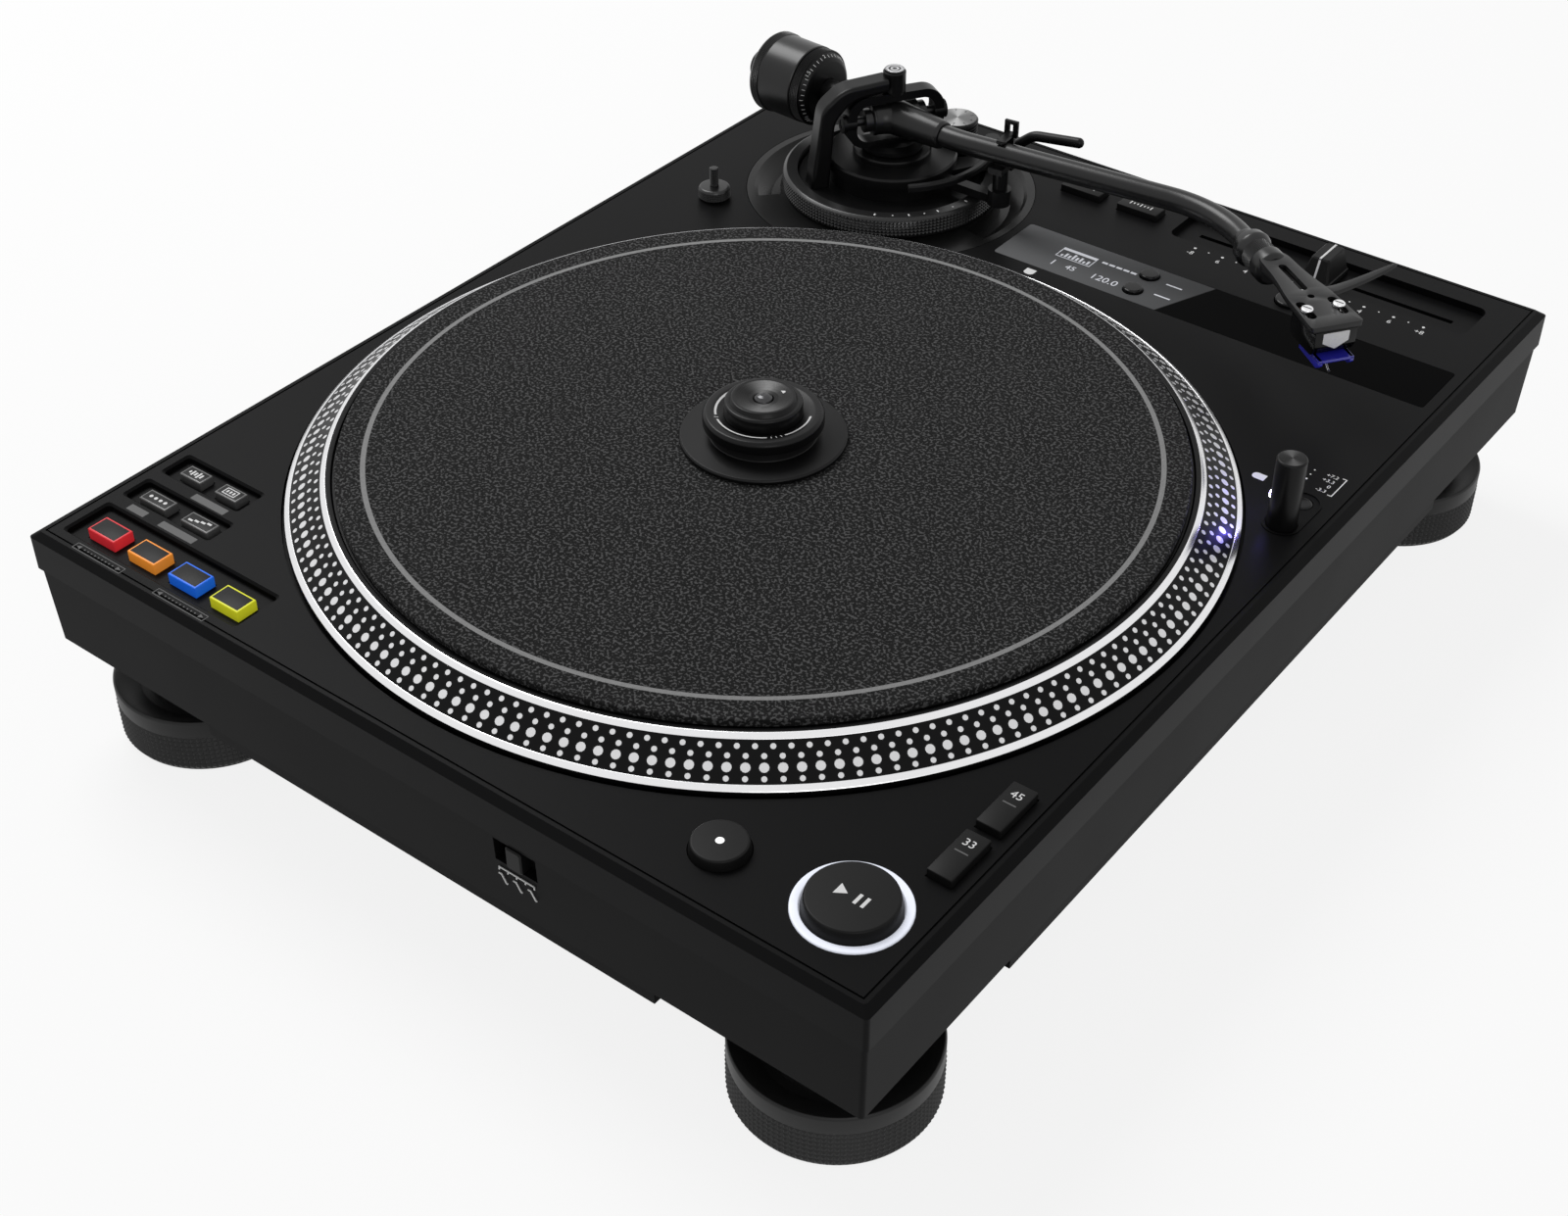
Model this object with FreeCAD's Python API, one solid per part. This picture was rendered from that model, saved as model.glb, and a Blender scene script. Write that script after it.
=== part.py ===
import FreeCAD, Part
import math
import os

os.makedirs("parts", exist_ok=True)
Vector = FreeCAD.Vector

# A direct-drive record player in the upright layout: +X is right along the front side,
# +Y is the back side with the sockets, +Z is up, and the origin is the centre of the
# plane that the feet stand on. Sizes are in millimetres.

# Heights of the casing, from the floor upwards
base_height = 40.1
bay_sill = 5.4
bay_height = 23.0
bay_headroom = 3.2
deck_side = 15.3
bay_bottom = base_height + bay_sill
bay_top = bay_bottom + bay_height
seam_height = bay_top + bay_headroom
deck_height = seam_height + deck_side
deck_thickness = 5.0
base_floor = 3.0

# The row of controls behind the platter sets the width of the casing
pivot_from_left = 91.0
pivot_to_keys = 59.2
tempo_key_width = 18.6
tempo_key_gap = 8.7
key_to_fader = 9.0
fader_slot_length = 111.5
fader_slot_margin = 9.1
fader_from_right = 18.2
fader_recess_length = fader_slot_length + 2 * fader_slot_margin
plinth_width = (pivot_from_left + pivot_to_keys + 2 * tempo_key_width + tempo_key_gap + key_to_fader
                + fader_recess_length + fader_from_right)
half_width = plinth_width / 2

# The platter fills the width, and the rows in front of and behind it add up to the depth
side_margin = 8.5
front_margin = 13.5
window_gap = 10.0
window_depth = 28.5
key_row_depth = 27.1
fader_recess_width = 23.5
rear_margin = 14.4
recess_radius = half_width - side_margin
rear_strip = window_gap + window_depth + key_row_depth + fader_recess_width + rear_margin
plinth_depth = front_margin + 2 * recess_radius + rear_strip
half_depth = plinth_depth / 2
spindle_x = 0.0
spindle_y = front_margin + recess_radius - half_depth

# Casing
edge_chamfer_out = 2.8
edge_chamfer_down = 2.1
corner_radius = 1.5
edge_groove_width = 0.7
edge_groove_depth = 0.6
edge_groove_gap = 1.4
case_wall = 3.0
seam_step = 1.0
base_taper = 1.0
boss_radius = 5.0
boss_hole = 1.6
boss_side_inset = 8.5
boss_end_inset = 9.5
boss_front_offset = 55.0
boss_left_offset = 105.0
boss_right_offset = 135.0
boss_places = ((boss_side_inset - half_width, spindle_y - boss_front_offset),
               (half_width - boss_side_inset, spindle_y - boss_front_offset),
               (boss_side_inset - half_width, spindle_y + boss_left_offset),
               (half_width - boss_side_inset, spindle_y + boss_right_offset),
               (0.0, boss_end_inset - half_depth), (0.0, half_depth - boss_end_inset))
belly_drop = 4.6
belly_inset = 0.3
foot_bay = 76.0
foot_bay_cut = 8.0

# Clearances
piece_gap = 0.3
seat_gap = 0.15
running_gap = 0.05
lip_gap = 0.2

# Feet
foot_inset = 35.6
foot_radius = 33.8
foot_knurl_height = 16.0
foot_rim_height = 23.5
foot_rim_radius = 32.9
foot_dish_radius = 24.0
foot_dish_height = 18.8
foot_neck_radius = 21.0
stud_radius = 8.0
stud_length = 14.0

# Platter, mat and motor
recess_depth = 2.0
recess_gap = 1.1
platter_radius = recess_radius - recess_gap
platter_lift = 1.4
platter_edge_height = 1.9
platter_slope_width = 15.3
platter_top_radius = platter_radius - platter_slope_width
platter_rise = 11.6
rim_band_width = 2.2
rim_band_proud = 0.3
platter_lip_inset = 2.4
platter_lip_radius = platter_top_radius - platter_lip_inset
platter_lip_depth = 0.8
platter_plate = 4.5
platter_rim_wall = 5.0
platter_rib_count = 12
platter_rib_width = 3.0
platter_rib_depth = 3.0
hub_radius = 14.0
mat_gap = 0.8
mat_radius = platter_lip_radius - mat_gap
mat_thickness = 3.0
spindle_radius = 3.6
shaft_radius = 4.0
shaft_flange_radius = 9.0
shaft_flange_height = 2.5
hub_drop = 5.3
spindle_tip_height = 31.5
motor_hole_radius = 50.0
stator_plate_radius = 58.0
stator_plate_thickness = 3.0
coil_count = 12
coil_inner_radius = 26.0
coil_outer_radius = 44.0
coil_width = 8.0
coil_height = 3.4
magnet_inner_radius = 26.0
magnet_outer_radius = 46.0
magnet_height = 5.6
bearing_radius = 12.0
bearing_flange_radius = 20.0
bearing_floor_gap = 0.9
bearing_cap = 3.0

# Record clamp
clamp_flange_radius = 29.6
clamp_flange_height = 2.2
clamp_waist_radius = 18.5
clamp_ring_radius = 21.3
clamp_height = 11.4
clamp_scale_radius = 18.0
clamp_scale_sink = 1.2
clamp_bore = 3.68
clamp_stem_radius = 8.0
clamp_dial_radius = 13.75
clamp_dial_seat = 7.2
clamp_dial_shoulder = 15.6
clamp_dial_height = 17.1
clamp_dial_rim = 11.1

# Push buttons: every cap passes through the deck and has a lip below it
button_lip = 0.9
button_lip_height = 1.5
button_chamfer = 0.5
key_corner = 0.8
start_from_right = 26.9
start_from_front = 29.8
start_x = half_width - start_from_right
start_y = start_from_front - half_depth
start_ring_radius = 18.0
start_ring_bore = 15.2
start_ring_proud = 0.5
start_ring_edge = 1.5
start_button_radius = 14.8
start_button_top = 13.6
start_button_rise = 4.4
motor_off_from_start = 43.6
motor_off_before_start = 4.7
motor_off_x = start_x - motor_off_from_start
motor_off_y = start_y - motor_off_before_start
motor_off_radius = 9.4
motor_off_top = 8.5
motor_off_rise = 3.5
speed_from_right = 13.2
speed_x = half_width - speed_from_right
speed_width = 8.6
speed_depth = 20.6
speed_rise = 3.0
speed_from_start = 32.9
speed_pitch = 25.0
speed_33_y = start_y + speed_from_start
speed_45_y = speed_33_y + speed_pitch
key_from_left = 9.0
pad_from_front = 8.9
pad_recess_length = 85.5
pad_recess_width = 18.6
key_recess_gap = 7.0
lower_recess_length = 43.3
lower_recess_width = 10.7
upper_recess_gap = 6.5
upper_recess_length = 38.5
upper_recess_width = 11.8
key_left = key_from_left - half_width
pad_front = pad_from_front - half_depth
lower_front = pad_front + pad_recess_width + key_recess_gap
upper_front = lower_front + lower_recess_width + upper_recess_gap
pad_recess = (key_left, key_left + pad_recess_length, pad_front, pad_front + pad_recess_width)
lower_key_recess = (key_left, key_left + lower_recess_length, lower_front, lower_front + lower_recess_width)
upper_key_recess = (key_left, key_left + upper_recess_length, upper_front, upper_front + upper_recess_width)
key_recess_depth = 2.5
recess_bevel = 0.8
pad_margin = 14.2
pad_first_x = key_left + pad_margin
pad_pitch = 20.5
pad_seat = 8.0
pad_y = pad_front + pad_seat
pad_width = 13.6
pad_depth = 8.4
pad_rise = 1.3
mode_upper_seat = 5.2
mode_upper_margins = (11.6, 29.7)
mode_upper_y = upper_front + mode_upper_seat
mode_upper_x = [key_left + margin for margin in mode_upper_margins]
mode_upper_width = 10.8
mode_lower_seat = 4.3
mode_lower_margins = (12.9, 34.4)
mode_lower_y = lower_front + mode_lower_seat
mode_lower_x = [key_left + margin for margin in mode_lower_margins]
mode_lower_width = 13.4
mode_depth = 6.0
mode_rise = 0.6
fader_recess = (half_width - fader_from_right - fader_recess_length, half_width - fader_from_right,
                half_depth - rear_margin - fader_recess_width, half_depth - rear_margin)
tempo_key_seat = 9.1
tempo_key_y = fader_recess[2] + tempo_key_seat
tempo_range_x = fader_recess[0] - key_to_fader - tempo_key_width / 2
function_key_x = tempo_range_x - tempo_key_width - tempo_key_gap
tempo_key_depth = 8.6
tempo_key_rise = 3.0
display_button_from_right = 136.5
display_button_x = half_width - display_button_from_right
window_front = spindle_y + recess_radius + window_gap
window_back = window_front + window_depth
display_button_seats = (21.3, 8.0)
display_button_y = [window_front + seat for seat in display_button_seats]
display_button_radius = 4.0
display_button_rise = 1.5
reset_x = (fader_recess[0] + fader_recess[1]) / 2
reset_gap = 9.5
reset_y = window_back + reset_gap
reset_radius = 6.0
reset_rise = 1.5

# Display window
well_radius = 61.2
pivot_x = pivot_from_left - half_width
window_side_gap = 3.8
window_left = pivot_x + well_radius + window_side_gap
window_from_right = 9.2
window_right = half_width - window_from_right
window_thickness = 1.6
screen_inset = 6.5
screen_right_inset = 10.0
screen_front_inset = 4.0
screen_back_inset = 3.5
screen_opening = (window_left + screen_inset, display_button_x - screen_right_inset,
                  window_front + screen_front_inset, window_back - screen_back_inset)

# Target lamp
lamp_from_right = 16.5
lamp_from_spindle = 82.6
lamp_button_pitch = 14.9
lamp_x = half_width - lamp_from_right
lamp_y = spindle_y + lamp_from_spindle
lamp_button_y = lamp_y + lamp_button_pitch
lamp_radius = 5.3
lamp_rise = 27.4
lamp_foot_radius = 6.4
lamp_foot_height = 2.0
lamp_button_radius = 3.7
lamp_button_rise = 0.4
lamp_bezel_radius = 6.9
lamp_bezel_wall = 0.8
lamp_bezel_proud = 0.4

# Pitch fader
fader_recess_corner = 4.0
fader_recess_depth = 3.0
fader_seat = 11.4
fader_y = fader_recess[2] + fader_seat
fader_zero_x = reset_x
fader_blade_width = 1.8
fader_blade_length = 8.0
fader_blade_reach = 4.0
fader_slot_width = 2.4
fader_cap_width = 13.0
fader_ridge_width = 7.4
fader_cap_length = 19.0
fader_cap_height = 11.2
fader_cap_skirt = 2.4
fader_front_slope = 4.0
fader_back_slope = 1.5
track_width = 14.0
track_height = 9.0
track_floor = 2.0
track_overrun = 6.0

# Brake slider in the front face
brake_from_right = 122.1
brake_width = 17.2
brake_under_seam = 2.5
brake_tall = 9.2
brake_right = half_width - brake_from_right
brake_left = brake_right - brake_width
brake_top = seam_height - brake_under_seam
brake_bottom = brake_top - brake_tall
brake_knob_width = 6.4
brake_knob_proud = 0.8
brake_flange = 1.2
brake_flange_thickness = 1.5

# Rear side: two sunk bays with the sockets on their inner walls
bays = ((-112.0, -38.0), (40.0, 126.0))
bay_depth = 14.0
bay_wall = 2.5
socket_height = (bay_bottom + bay_top) / 2
signal_x = (-75.0, -52.0)
signal_radius = 4.15
signal_margin = 0.95
signal_rise = bay_height / 2 - signal_radius - signal_margin
signal_heights = (socket_height + signal_rise, socket_height - signal_rise)
signal_pin_radius = 1.7
signal_length = 9.0
signal_depth = 8.0
signal_plate = 1.0
signal_plate_width = 15.0
signal_plate_tall = bay_height - 0.4
ground_x = -98.0
ground_radius = 2.0
ground_nut_radius = 4.6
data_x = 52.8
data_width = 12.0
data_tall = 10.6
data_shell = 0.8
switch_x = 75.6
switch_width = 14.0
switch_tall = bay_height - 2.0
switch_depth = 15.0
switch_shell = 1.2
inlet_x = 106.0
inlet_width = 24.0
inlet_tall = bay_height - 6.6
inlet_shell = 1.6
inlet_blade_spacing = 7.0
inlet_blade_drop = 3.0
inlet_blade_width = 2.0
inlet_blade_tall = 4.0
socket_depth = 14.0
rocker_half = 8.0
rocker_tip = 5.0
rocker_root = 3.5
rocker_sink = 4.0
rocker_tilt = 8.0
rocker_pin_radius = 1.2
rocker_pin_reach = 0.8

# Inner boards
board_thickness = 1.6
board_post_height = 6.0
board_post_radius = 3.0
board_edge = 5.0
chip_size = 26.0
chip_height = 2.0
board_inset = 26.5
control_width = 120.0
control_depth = 95.0
control_from_front = 11.5
control_left = board_inset - half_width
control_front = control_from_front - half_depth
control_board = (control_left, control_left + control_width, control_front, control_front + control_depth)
supply_width = 90.0
supply_depth = 80.0
supply_from_back = 46.5
supply_back = half_depth - supply_from_back
supply_board = (half_width - board_inset - supply_width, half_width - board_inset,
                supply_back - supply_depth, supply_back)
jack_block = (12.0, 7.0, 6.0)
jack_inset = 20.0
jack_pitch = 25.0
transformer = (42.0, 36.0, 17.0)
transformer_inset = (30.0, 35.0)
capacitor_radius = 5.0
capacitor_height = 15.0
capacitor_inset = 14.0
capacitor_pitch = 22.0

# Auxiliary weight kept on the deck
pivot_from_back = 74.0
pivot_y = half_depth - pivot_from_back
aux_from_left = 37.5
aux_before_pivot = 53.1
aux_x = aux_from_left - half_width
aux_y = pivot_y - aux_before_pivot
aux_radius = 7.0
aux_height = 5.2
aux_pin_radius = 1.9
aux_pin_height = 13.5
aux_thread_radius = 1.8

# Heights of the arm, all measured from its level axis
arm_height = 32.5
gimbal_over_axis = 11.7
gimbal_under_axis = 10.9
gimbal_top = arm_height + gimbal_over_axis
gimbal_bottom = arm_height - gimbal_under_axis
shell_over_axis = 5.0
shell_top = arm_height + shell_over_axis

# Tonearm seat
well_thickness = 8.0
scoop_inner_radius = 47.0
scoop_outer_radius = 58.0
scoop_depth = 5.6
scoop_floor_width = 4.0
scoop_right = (-14.0, 62.0)
scoop_left = (118.0, 226.0)
height_ring_radius = 46.0
height_ring_bore = 39.8
height_ring_top_radius = 44.0
height_ring_knurl_top = 8.0
height_ring_height = 9.1
base_disc_bottom = 2.0
base_disc_top = 6.5
base_disc_radius = 39.4
base_stem_radius = 28.0
base_stem_gap = 3.5
base_stem_length = 16.0
base_drum_radius = 26.5
base_slab_radius = 27.5
base_hub_radius = 16.5
base_hub_gap = 2.4
base_hub_rise = 2.2
base_slab_thickness = 4.6
base_slab_gap = 0.6
base_hub_top = gimbal_bottom - base_hub_gap
base_slab_top = base_hub_top - base_hub_rise
base_slab_bottom = base_slab_top - base_slab_thickness
base_drum_top = base_slab_bottom - base_slab_gap
lower_pin_radius = 2.0
lower_pin_length = 2.0

# Bearing arch and gimbal
arch_azimuth = 235.0
arch_width = 10.0
arch_round = 1.6
arch_foot_outer = 37.0
arch_foot_inner = 29.0
arch_foot_height = base_disc_top + lip_gap
arch_outer = ((32.6, 9.0), (23.5, 16.8), (4.0, 18.5))
arch_outer_bends = (9.0, 14.0)
arch_inner = ((4.0, 13.1), (19.5, 11.3), (26.8, 3.0))
arch_inner_bends = (12.0, 10.0)
arch_boss_radius = 4.8
arch_boss_gap = 0.4
arch_boss_height = 8.6
arch_boss_bottom = gimbal_top + arch_boss_gap
arch_boss_top = arch_boss_bottom + arch_boss_height
arch_cap_radius = 4.2
arch_cap_rise = 0.6
pivot_pin_radius = 1.4
gimbal_azimuth = 57.0
gimbal_half_width = 21.5
gimbal_bar = 4.2
gimbal_depth = 7.0
gimbal_roof = 3.6
gimbal_floor = 2.6
gimbal_outer_corner = 9.0
gimbal_inner_corner = 5.5
gimbal_hub_radius = 13.0
gimbal_boss_radius = 4.3
bearing_pin_radius = 2.0
bearing_nut_radius = 3.9
bearing_nut_height = 1.5

# Tonearm: directions in degrees from +X, distances from the pivot
root_azimuth = -4.0
straight_azimuth = 6.5
head_azimuth = -35.0
root_hub_radius = 7.6
root_end_radius = 5.3
root_length = 27.0
root_stub_radius = 4.9
root_cross_radius = 6.3
root_stub_length = 13.5
first_run = 34.4
second_run = 113.0
first_bend_radius = 80.0
second_bend_radius = 52.0
tube_radius = 4.6
tube_reach = 26.0
rear_shaft_radius = 5.0
rear_shaft_length = 70.0

# Counterweight, distances behind the pivot
weight_front = 44.0
weight_back = 66.0
weight_radius = 16.6
weight_band_radius = 17.2
weight_band_length = 5.0
scale_front = 36.0
scale_radius = 15.4
scale_band_radius = 16.4
scale_band_length = 4.5
weight_stub_radius = 6.6
weight_stub_length = 9.0

# Head coupling, distances along the head from the second corner
socket_radius = 5.4
socket_end = 38.0
lock_front = 40.4
lock_band_radius = 6.2
lock_band_length = 6.6
lock_flare_length = 7.0
lock_flare_radius = 7.4
plug_radius = 4.0
plug_start = 31.0
neck_start = 40.8
neck_end = 48.0
neck_radius = 6.8

# Headshell, in its own length and height
shell_plate = 2.3
shell_rear = 44.0
shell_waist_at = 60.0
shell_waist = 6.4
shell_shoulder_at = 73.0
shell_shoulder = 8.8
shell_front = 96.0
shell_front_half = 10.2
shell_slot = (52.0, 71.0)
shell_slot_width = 3.2
shell_hole_at = 75.6
shell_hole_radius = 1.3
shell_fin = 2.4
cart_slot = (78.0, 90.0)
cart_slot_width = 3.6
cart_screw_spacing = 12.7
cart_screw_at = 84.5
cart_screw_radius = 1.25
cart_head_radius = 2.3
cart_head_height = 1.5
cart_pin_radius = 0.6
lift_at = 72.5
lift_width = 4.6
lift_reach = 28.0
lift_thickness = 1.2
lift_rise = 5.0

# Cartridge and stylus
cart_back = 78.0
cart_front = 96.0
cart_half_width = 8.3
cart_height = 10.0
cart_nose = 3.5
stylus_front = 99.0
stylus_back = 84.0
stylus_half_width = 7.0
stylus_height = 3.8
stylus_reach = 20.1
stylus_tip_height = shell_top - stylus_reach
stylus_tip_at = 95.0
cantilever_radius = 0.6

# Arm rest on the tonearm base
rest_reach = 54.0
rest_offset = -0.3
rest_bar_drop = 2.0
rest_bar_bottom = base_drum_top - rest_bar_drop
rest_bar_height = 3.6
rest_bar_width = 5.0
rest_collar_radius = 4.8
rest_collar_height = 6.8
rest_collar_top = rest_bar_bottom + rest_collar_height
rest_post_radius = 3.1
rest_pad_height = 2.6
rest_pad_length = 6.2
rest_pad_half = 5.2
rest_ear = 1.2
rest_slot_width = 1.7
rest_slot_height = 5.0
clip_thickness = 1.3
clip_width = 3.2
clip_radius = 5.0
clip_pin_radius = 0.9
clip_eye_radius = 1.6
clip_pivot_out = 8.0
clip_pivot_down = 7.5
clip_tab_width = 5.9
clip_tab_over_axis = 11.0
clip_tab_top = arm_height + clip_tab_over_axis
clip_strap_end = 2.4

# Anti-skate dial, cue lever and lifter, places from the pivot
dial_x = 12.5
dial_y = 30.0
dial_radius = 8.9
wing_thickness = 3.5
wing_bottom = rest_bar_bottom
wing_top = wing_bottom + wing_thickness
dial_height = 10.4
dial_bottom = wing_top + piece_gap
dial_top = dial_bottom + dial_height
lifter_radius = 42.0
lifter_width = 3.0
lifter_azimuth = 39.0
lifter_end_azimuth = -46.0
lifter_under_axis = 12.5
lifter_bar_bottom = arm_height - lifter_under_axis
lifter_bar_height = 2.6
lifter_post_radius = 2.2
lifter_housing_radius = 4.4
lifter_housing_gap = 2.6
lifter_housing_top = lifter_bar_bottom - lifter_housing_gap
lever_root_rise = 4.3
lever_bend_rise = 12.1
lever_tip_rise = 14.1
lever_root = (39.5, 31.7, wing_top + lever_root_rise)
lever_bend = (48.9, 32.7, wing_top + lever_bend_rise)
lever_tip = (69.2, 35.1, wing_top + lever_tip_rise)
lever_radius = 2.2
lever_pin_radius = 1.5
lever_bend_radius = 9.0
lever_eye_radius = 3.2
lug_thickness = 1.4
lever_lug = 5.6

deck_under = deck_height - deck_thickness
arm_z = deck_height + arm_height
mat_seat = deck_height + platter_rise - platter_lip_depth
mat_top = mat_seat + mat_thickness
floor_top = base_height + base_floor
rear_face = plinth_depth / 2 - seam_step
bearing_depth = deck_under - floor_top - bearing_floor_gap
foot_places = [(side * (half_width - foot_inset), end * (half_depth - foot_inset))
               for side in (-1, 1) for end in (-1, 1)]


def disc(radius, bottom, top, x=0.0, y=0.0):
    return Part.makeCylinder(radius, top - bottom, Vector(x, y, bottom))


def tube(outer, inner, bottom, top, x=0.0, y=0.0):
    return disc(outer, bottom, top, x, y).cut(disc(inner, bottom - 1, top + 1, x, y))


def block(left, right, front, back, bottom, top):
    return Part.makeBox(right - left, back - front, top - bottom, Vector(left, front, bottom))


def centred_block(x, y, width, depth, bottom, top):
    return block(x - width / 2, x + width / 2, y - depth / 2, y + depth / 2, bottom, top)


def join(shapes):
    return shapes[0].multiFuse(shapes[1:]).removeSplitter()


def carve(shape, tools):
    return shape.cut(tools).removeSplitter()


def placed(shape, azimuth, x=0.0, y=0.0, height=0.0):
    """Turn a shape about the vertical line at the origin, then move it."""
    shape = shape.copy()
    shape.rotate(Vector(0, 0, 0), Vector(0, 0, 1), azimuth)
    shape.translate(Vector(x, y, height))
    return shape


def upright(shape):
    """Stand a level shape up: its depth becomes height."""
    shape = shape.copy()
    shape.rotate(Vector(0, 0, 0), Vector(1, 0, 0), 90)
    return shape


def face_of(points):
    loop = [Vector(*point) for point in points]
    return Part.Face(Part.makePolygon(loop + loop[:1]))


def turned(profile, x=0.0, y=0.0, angle=360.0, start=0.0):
    """Turn a closed (radius, height) outline about the vertical line through x, y."""
    shape = face_of([(radius, 0, height) for radius, height in profile])
    shape = shape.revolve(Vector(0, 0, 0), Vector(0, 0, 1), angle)
    return placed(shape, start, x, y)


def turned_along(profile, azimuth, x, y, height):
    """Turn a closed (distance, radius) outline about a level line through x, y, height."""
    shape = face_of([(distance, 0, radius) for distance, radius in profile])
    shape = shape.revolve(Vector(0, 0, 0), Vector(1, 0, 0), 360)
    return placed(shape, azimuth, x, y, height)


def outline(left, right, front, back, radius, height):
    """A level rounded rectangle as a closed wire."""
    corners = [(right - radius, back - radius), (left + radius, back - radius),
               (left + radius, front + radius), (right - radius, front + radius)]
    arcs = []
    for number, (x, y) in enumerate(corners):
        centre = Vector(x, y, height)
        arcs.append(Part.makeCircle(radius, centre, Vector(0, 0, 1), 90 * number, 90 * number + 90))
    edges = []
    for number, arc in enumerate(arcs):
        following = arcs[(number + 1) % 4]
        edges.append(arc)
        edges.append(Part.makeLine(arc.Vertexes[-1].Point, following.Vertexes[0].Point))
    return Part.Wire(edges)


def slab(left, right, front, back, bottom, top, radius):
    face = Part.Face(outline(left, right, front, back, radius, bottom))
    return face.extrude(Vector(0, 0, top - bottom))


def edged_slab(left, right, front, back, bottom, top, radius, inset, drop):
    """A rounded slab whose top edge is bevelled by inset sideways and drop downwards."""
    return Part.makeLoft([
        outline(left, right, front, back, radius, bottom),
        outline(left, right, front, back, radius, top - drop),
        outline(left + inset, right - inset, front + inset, back - inset, radius, top)], True, True)


def stadium(start, end, radius, bottom, top):
    """A level plate with round ends at two (x, y) points."""
    run = (end[0] - start[0], end[1] - start[1])
    azimuth = math.degrees(math.atan2(run[1], run[0]))
    middle = placed(block(0, math.hypot(*run), -radius, radius, bottom, top), azimuth, *start)
    return join([middle, disc(radius, bottom, top, *start), disc(radius, bottom, top, *end)])


def bent_line(points, radii):
    """Straight runs through the points with a round bend at every inner point."""
    points = [Vector(*point) for point in points]
    edges = []
    start = points[0]
    for before, corner, after, radius in zip(points, points[1:], points[2:], radii):
        towards = (before - corner).normalize()
        away = (after - corner).normalize()
        half = towards.getAngle(away) / 2
        first = corner + towards * (radius / math.tan(half))
        last = corner + away * (radius / math.tan(half))
        middle = corner + (towards + away).normalize() * (radius / math.sin(half) - radius)
        edges.append(Part.makeLine(start, first))
        edges.append(Part.Arc(first, middle, last).toShape())
        start = last
    edges.append(Part.makeLine(start, points[-1]))
    return Part.Wire(edges)


def rod(points, radii, thickness):
    """A round bar of the given radius along a bent line."""
    path = bent_line(points, radii)
    start = Vector(*points[0])
    direction = Vector(*points[1]) - start
    ring = Part.Wire(Part.makeCircle(thickness, start, direction))
    return path.makePipeShell([ring], True, False)


def write(shape, name):
    shape.exportStep("parts/" + name + ".step")


def polar(distance, azimuth, x=pivot_x, y=pivot_y):
    angle = math.radians(azimuth)
    return x + distance * math.cos(angle), y + distance * math.sin(angle)


first_bend = polar(first_run, root_azimuth)
second_bend = polar(second_run, straight_azimuth, *first_bend)


def on_head(shape):
    """Place a shape drawn along +X from the second bend of the arm."""
    return placed(shape, head_azimuth, *second_bend, deck_height)


def on_pivot(shape, azimuth=0.0):
    return placed(shape, azimuth, pivot_x, pivot_y, deck_height)


# Casing


def pit(recess):
    """A pocket in the deck with a bevelled mouth."""
    left, right, front, back = recess
    spread = recess_bevel + 1
    return Part.makeLoft([
        outline(left, right, front, back, corner_radius, deck_height - key_recess_depth),
        outline(left, right, front, back, corner_radius, deck_height - recess_bevel),
        outline(left - spread, right + spread, front - spread, back + spread, corner_radius,
                deck_height + 1)], True, True)


def rectangular_keys():
    """Name, centre, width, depth and rise of every rectangular button cap."""
    keys = [("speed_button_33", speed_x, speed_33_y, speed_width, speed_depth, speed_rise),
            ("speed_button_45", speed_x, speed_45_y, speed_width, speed_depth, speed_rise),
            ("tempo_range_button", tempo_range_x, tempo_key_y, tempo_key_width, tempo_key_depth,
             tempo_key_rise),
            ("function_button", function_key_x, tempo_key_y, tempo_key_width, tempo_key_depth,
             tempo_key_rise)]
    for number in range(4):
        keys.append(("pad_%d" % (number + 1), pad_first_x + number * pad_pitch, pad_y,
                     pad_width, pad_depth, pad_rise))
    for number, (upper, lower) in enumerate(zip(mode_upper_x, mode_lower_x)):
        keys.append(("mode_button_%d" % (number + 1), upper, mode_upper_y, mode_upper_width,
                     mode_depth, mode_rise))
        keys.append(("mode_button_%d" % (number + 3), lower, mode_lower_y, mode_lower_width,
                     mode_depth, mode_rise))
    return keys


def round_keys():
    """Name, centre, lower radius, upper radius and rise of every round button cap."""
    small_top = display_button_radius - button_chamfer
    keys = [("motor_off_button", motor_off_x, motor_off_y, motor_off_radius, motor_off_top,
             motor_off_rise),
            ("tempo_reset_button", reset_x, reset_y, reset_radius, reset_radius - button_chamfer,
             reset_rise),
            ("lamp_button", lamp_x, lamp_button_y, lamp_button_radius,
             lamp_button_radius - lamp_button_rise, lamp_button_rise)]
    for name, y in zip(("display_button_upper", "display_button_lower"), display_button_y):
        keys.append((name, display_button_x, y, display_button_radius, small_top,
                     display_button_rise))
    return keys


def well_blank(spare, bottom, top):
    """The round seat of the tonearm, cut short beside the recess of the platter."""
    blank = disc(well_radius + spare, bottom, top, pivot_x, pivot_y)
    return blank.cut(disc(recess_radius + case_wall - spare, bottom - 1, top + 1, spindle_x, spindle_y))


def fader_slot(width, length, bottom, top):
    return centred_block(fader_zero_x, fader_y, length, width, bottom, top)


def case_posts(bottom, top):
    return [tube(boss_radius, boss_hole, bottom, top, x, y) for x, y in boss_places]


def edge_groove():
    """The thin line cut round the deck just inside its bevelled edge."""
    inset = edge_chamfer_out + edge_groove_gap
    bottom = deck_height - edge_groove_depth
    outer = block(inset - half_width, half_width - inset, inset - half_depth, half_depth - inset,
                  bottom, deck_height + 1)
    inset += edge_groove_width
    return outer.cut(block(inset - half_width, half_width - inset, inset - half_depth,
                           half_depth - inset, bottom - 1, deck_height + 2))


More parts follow.
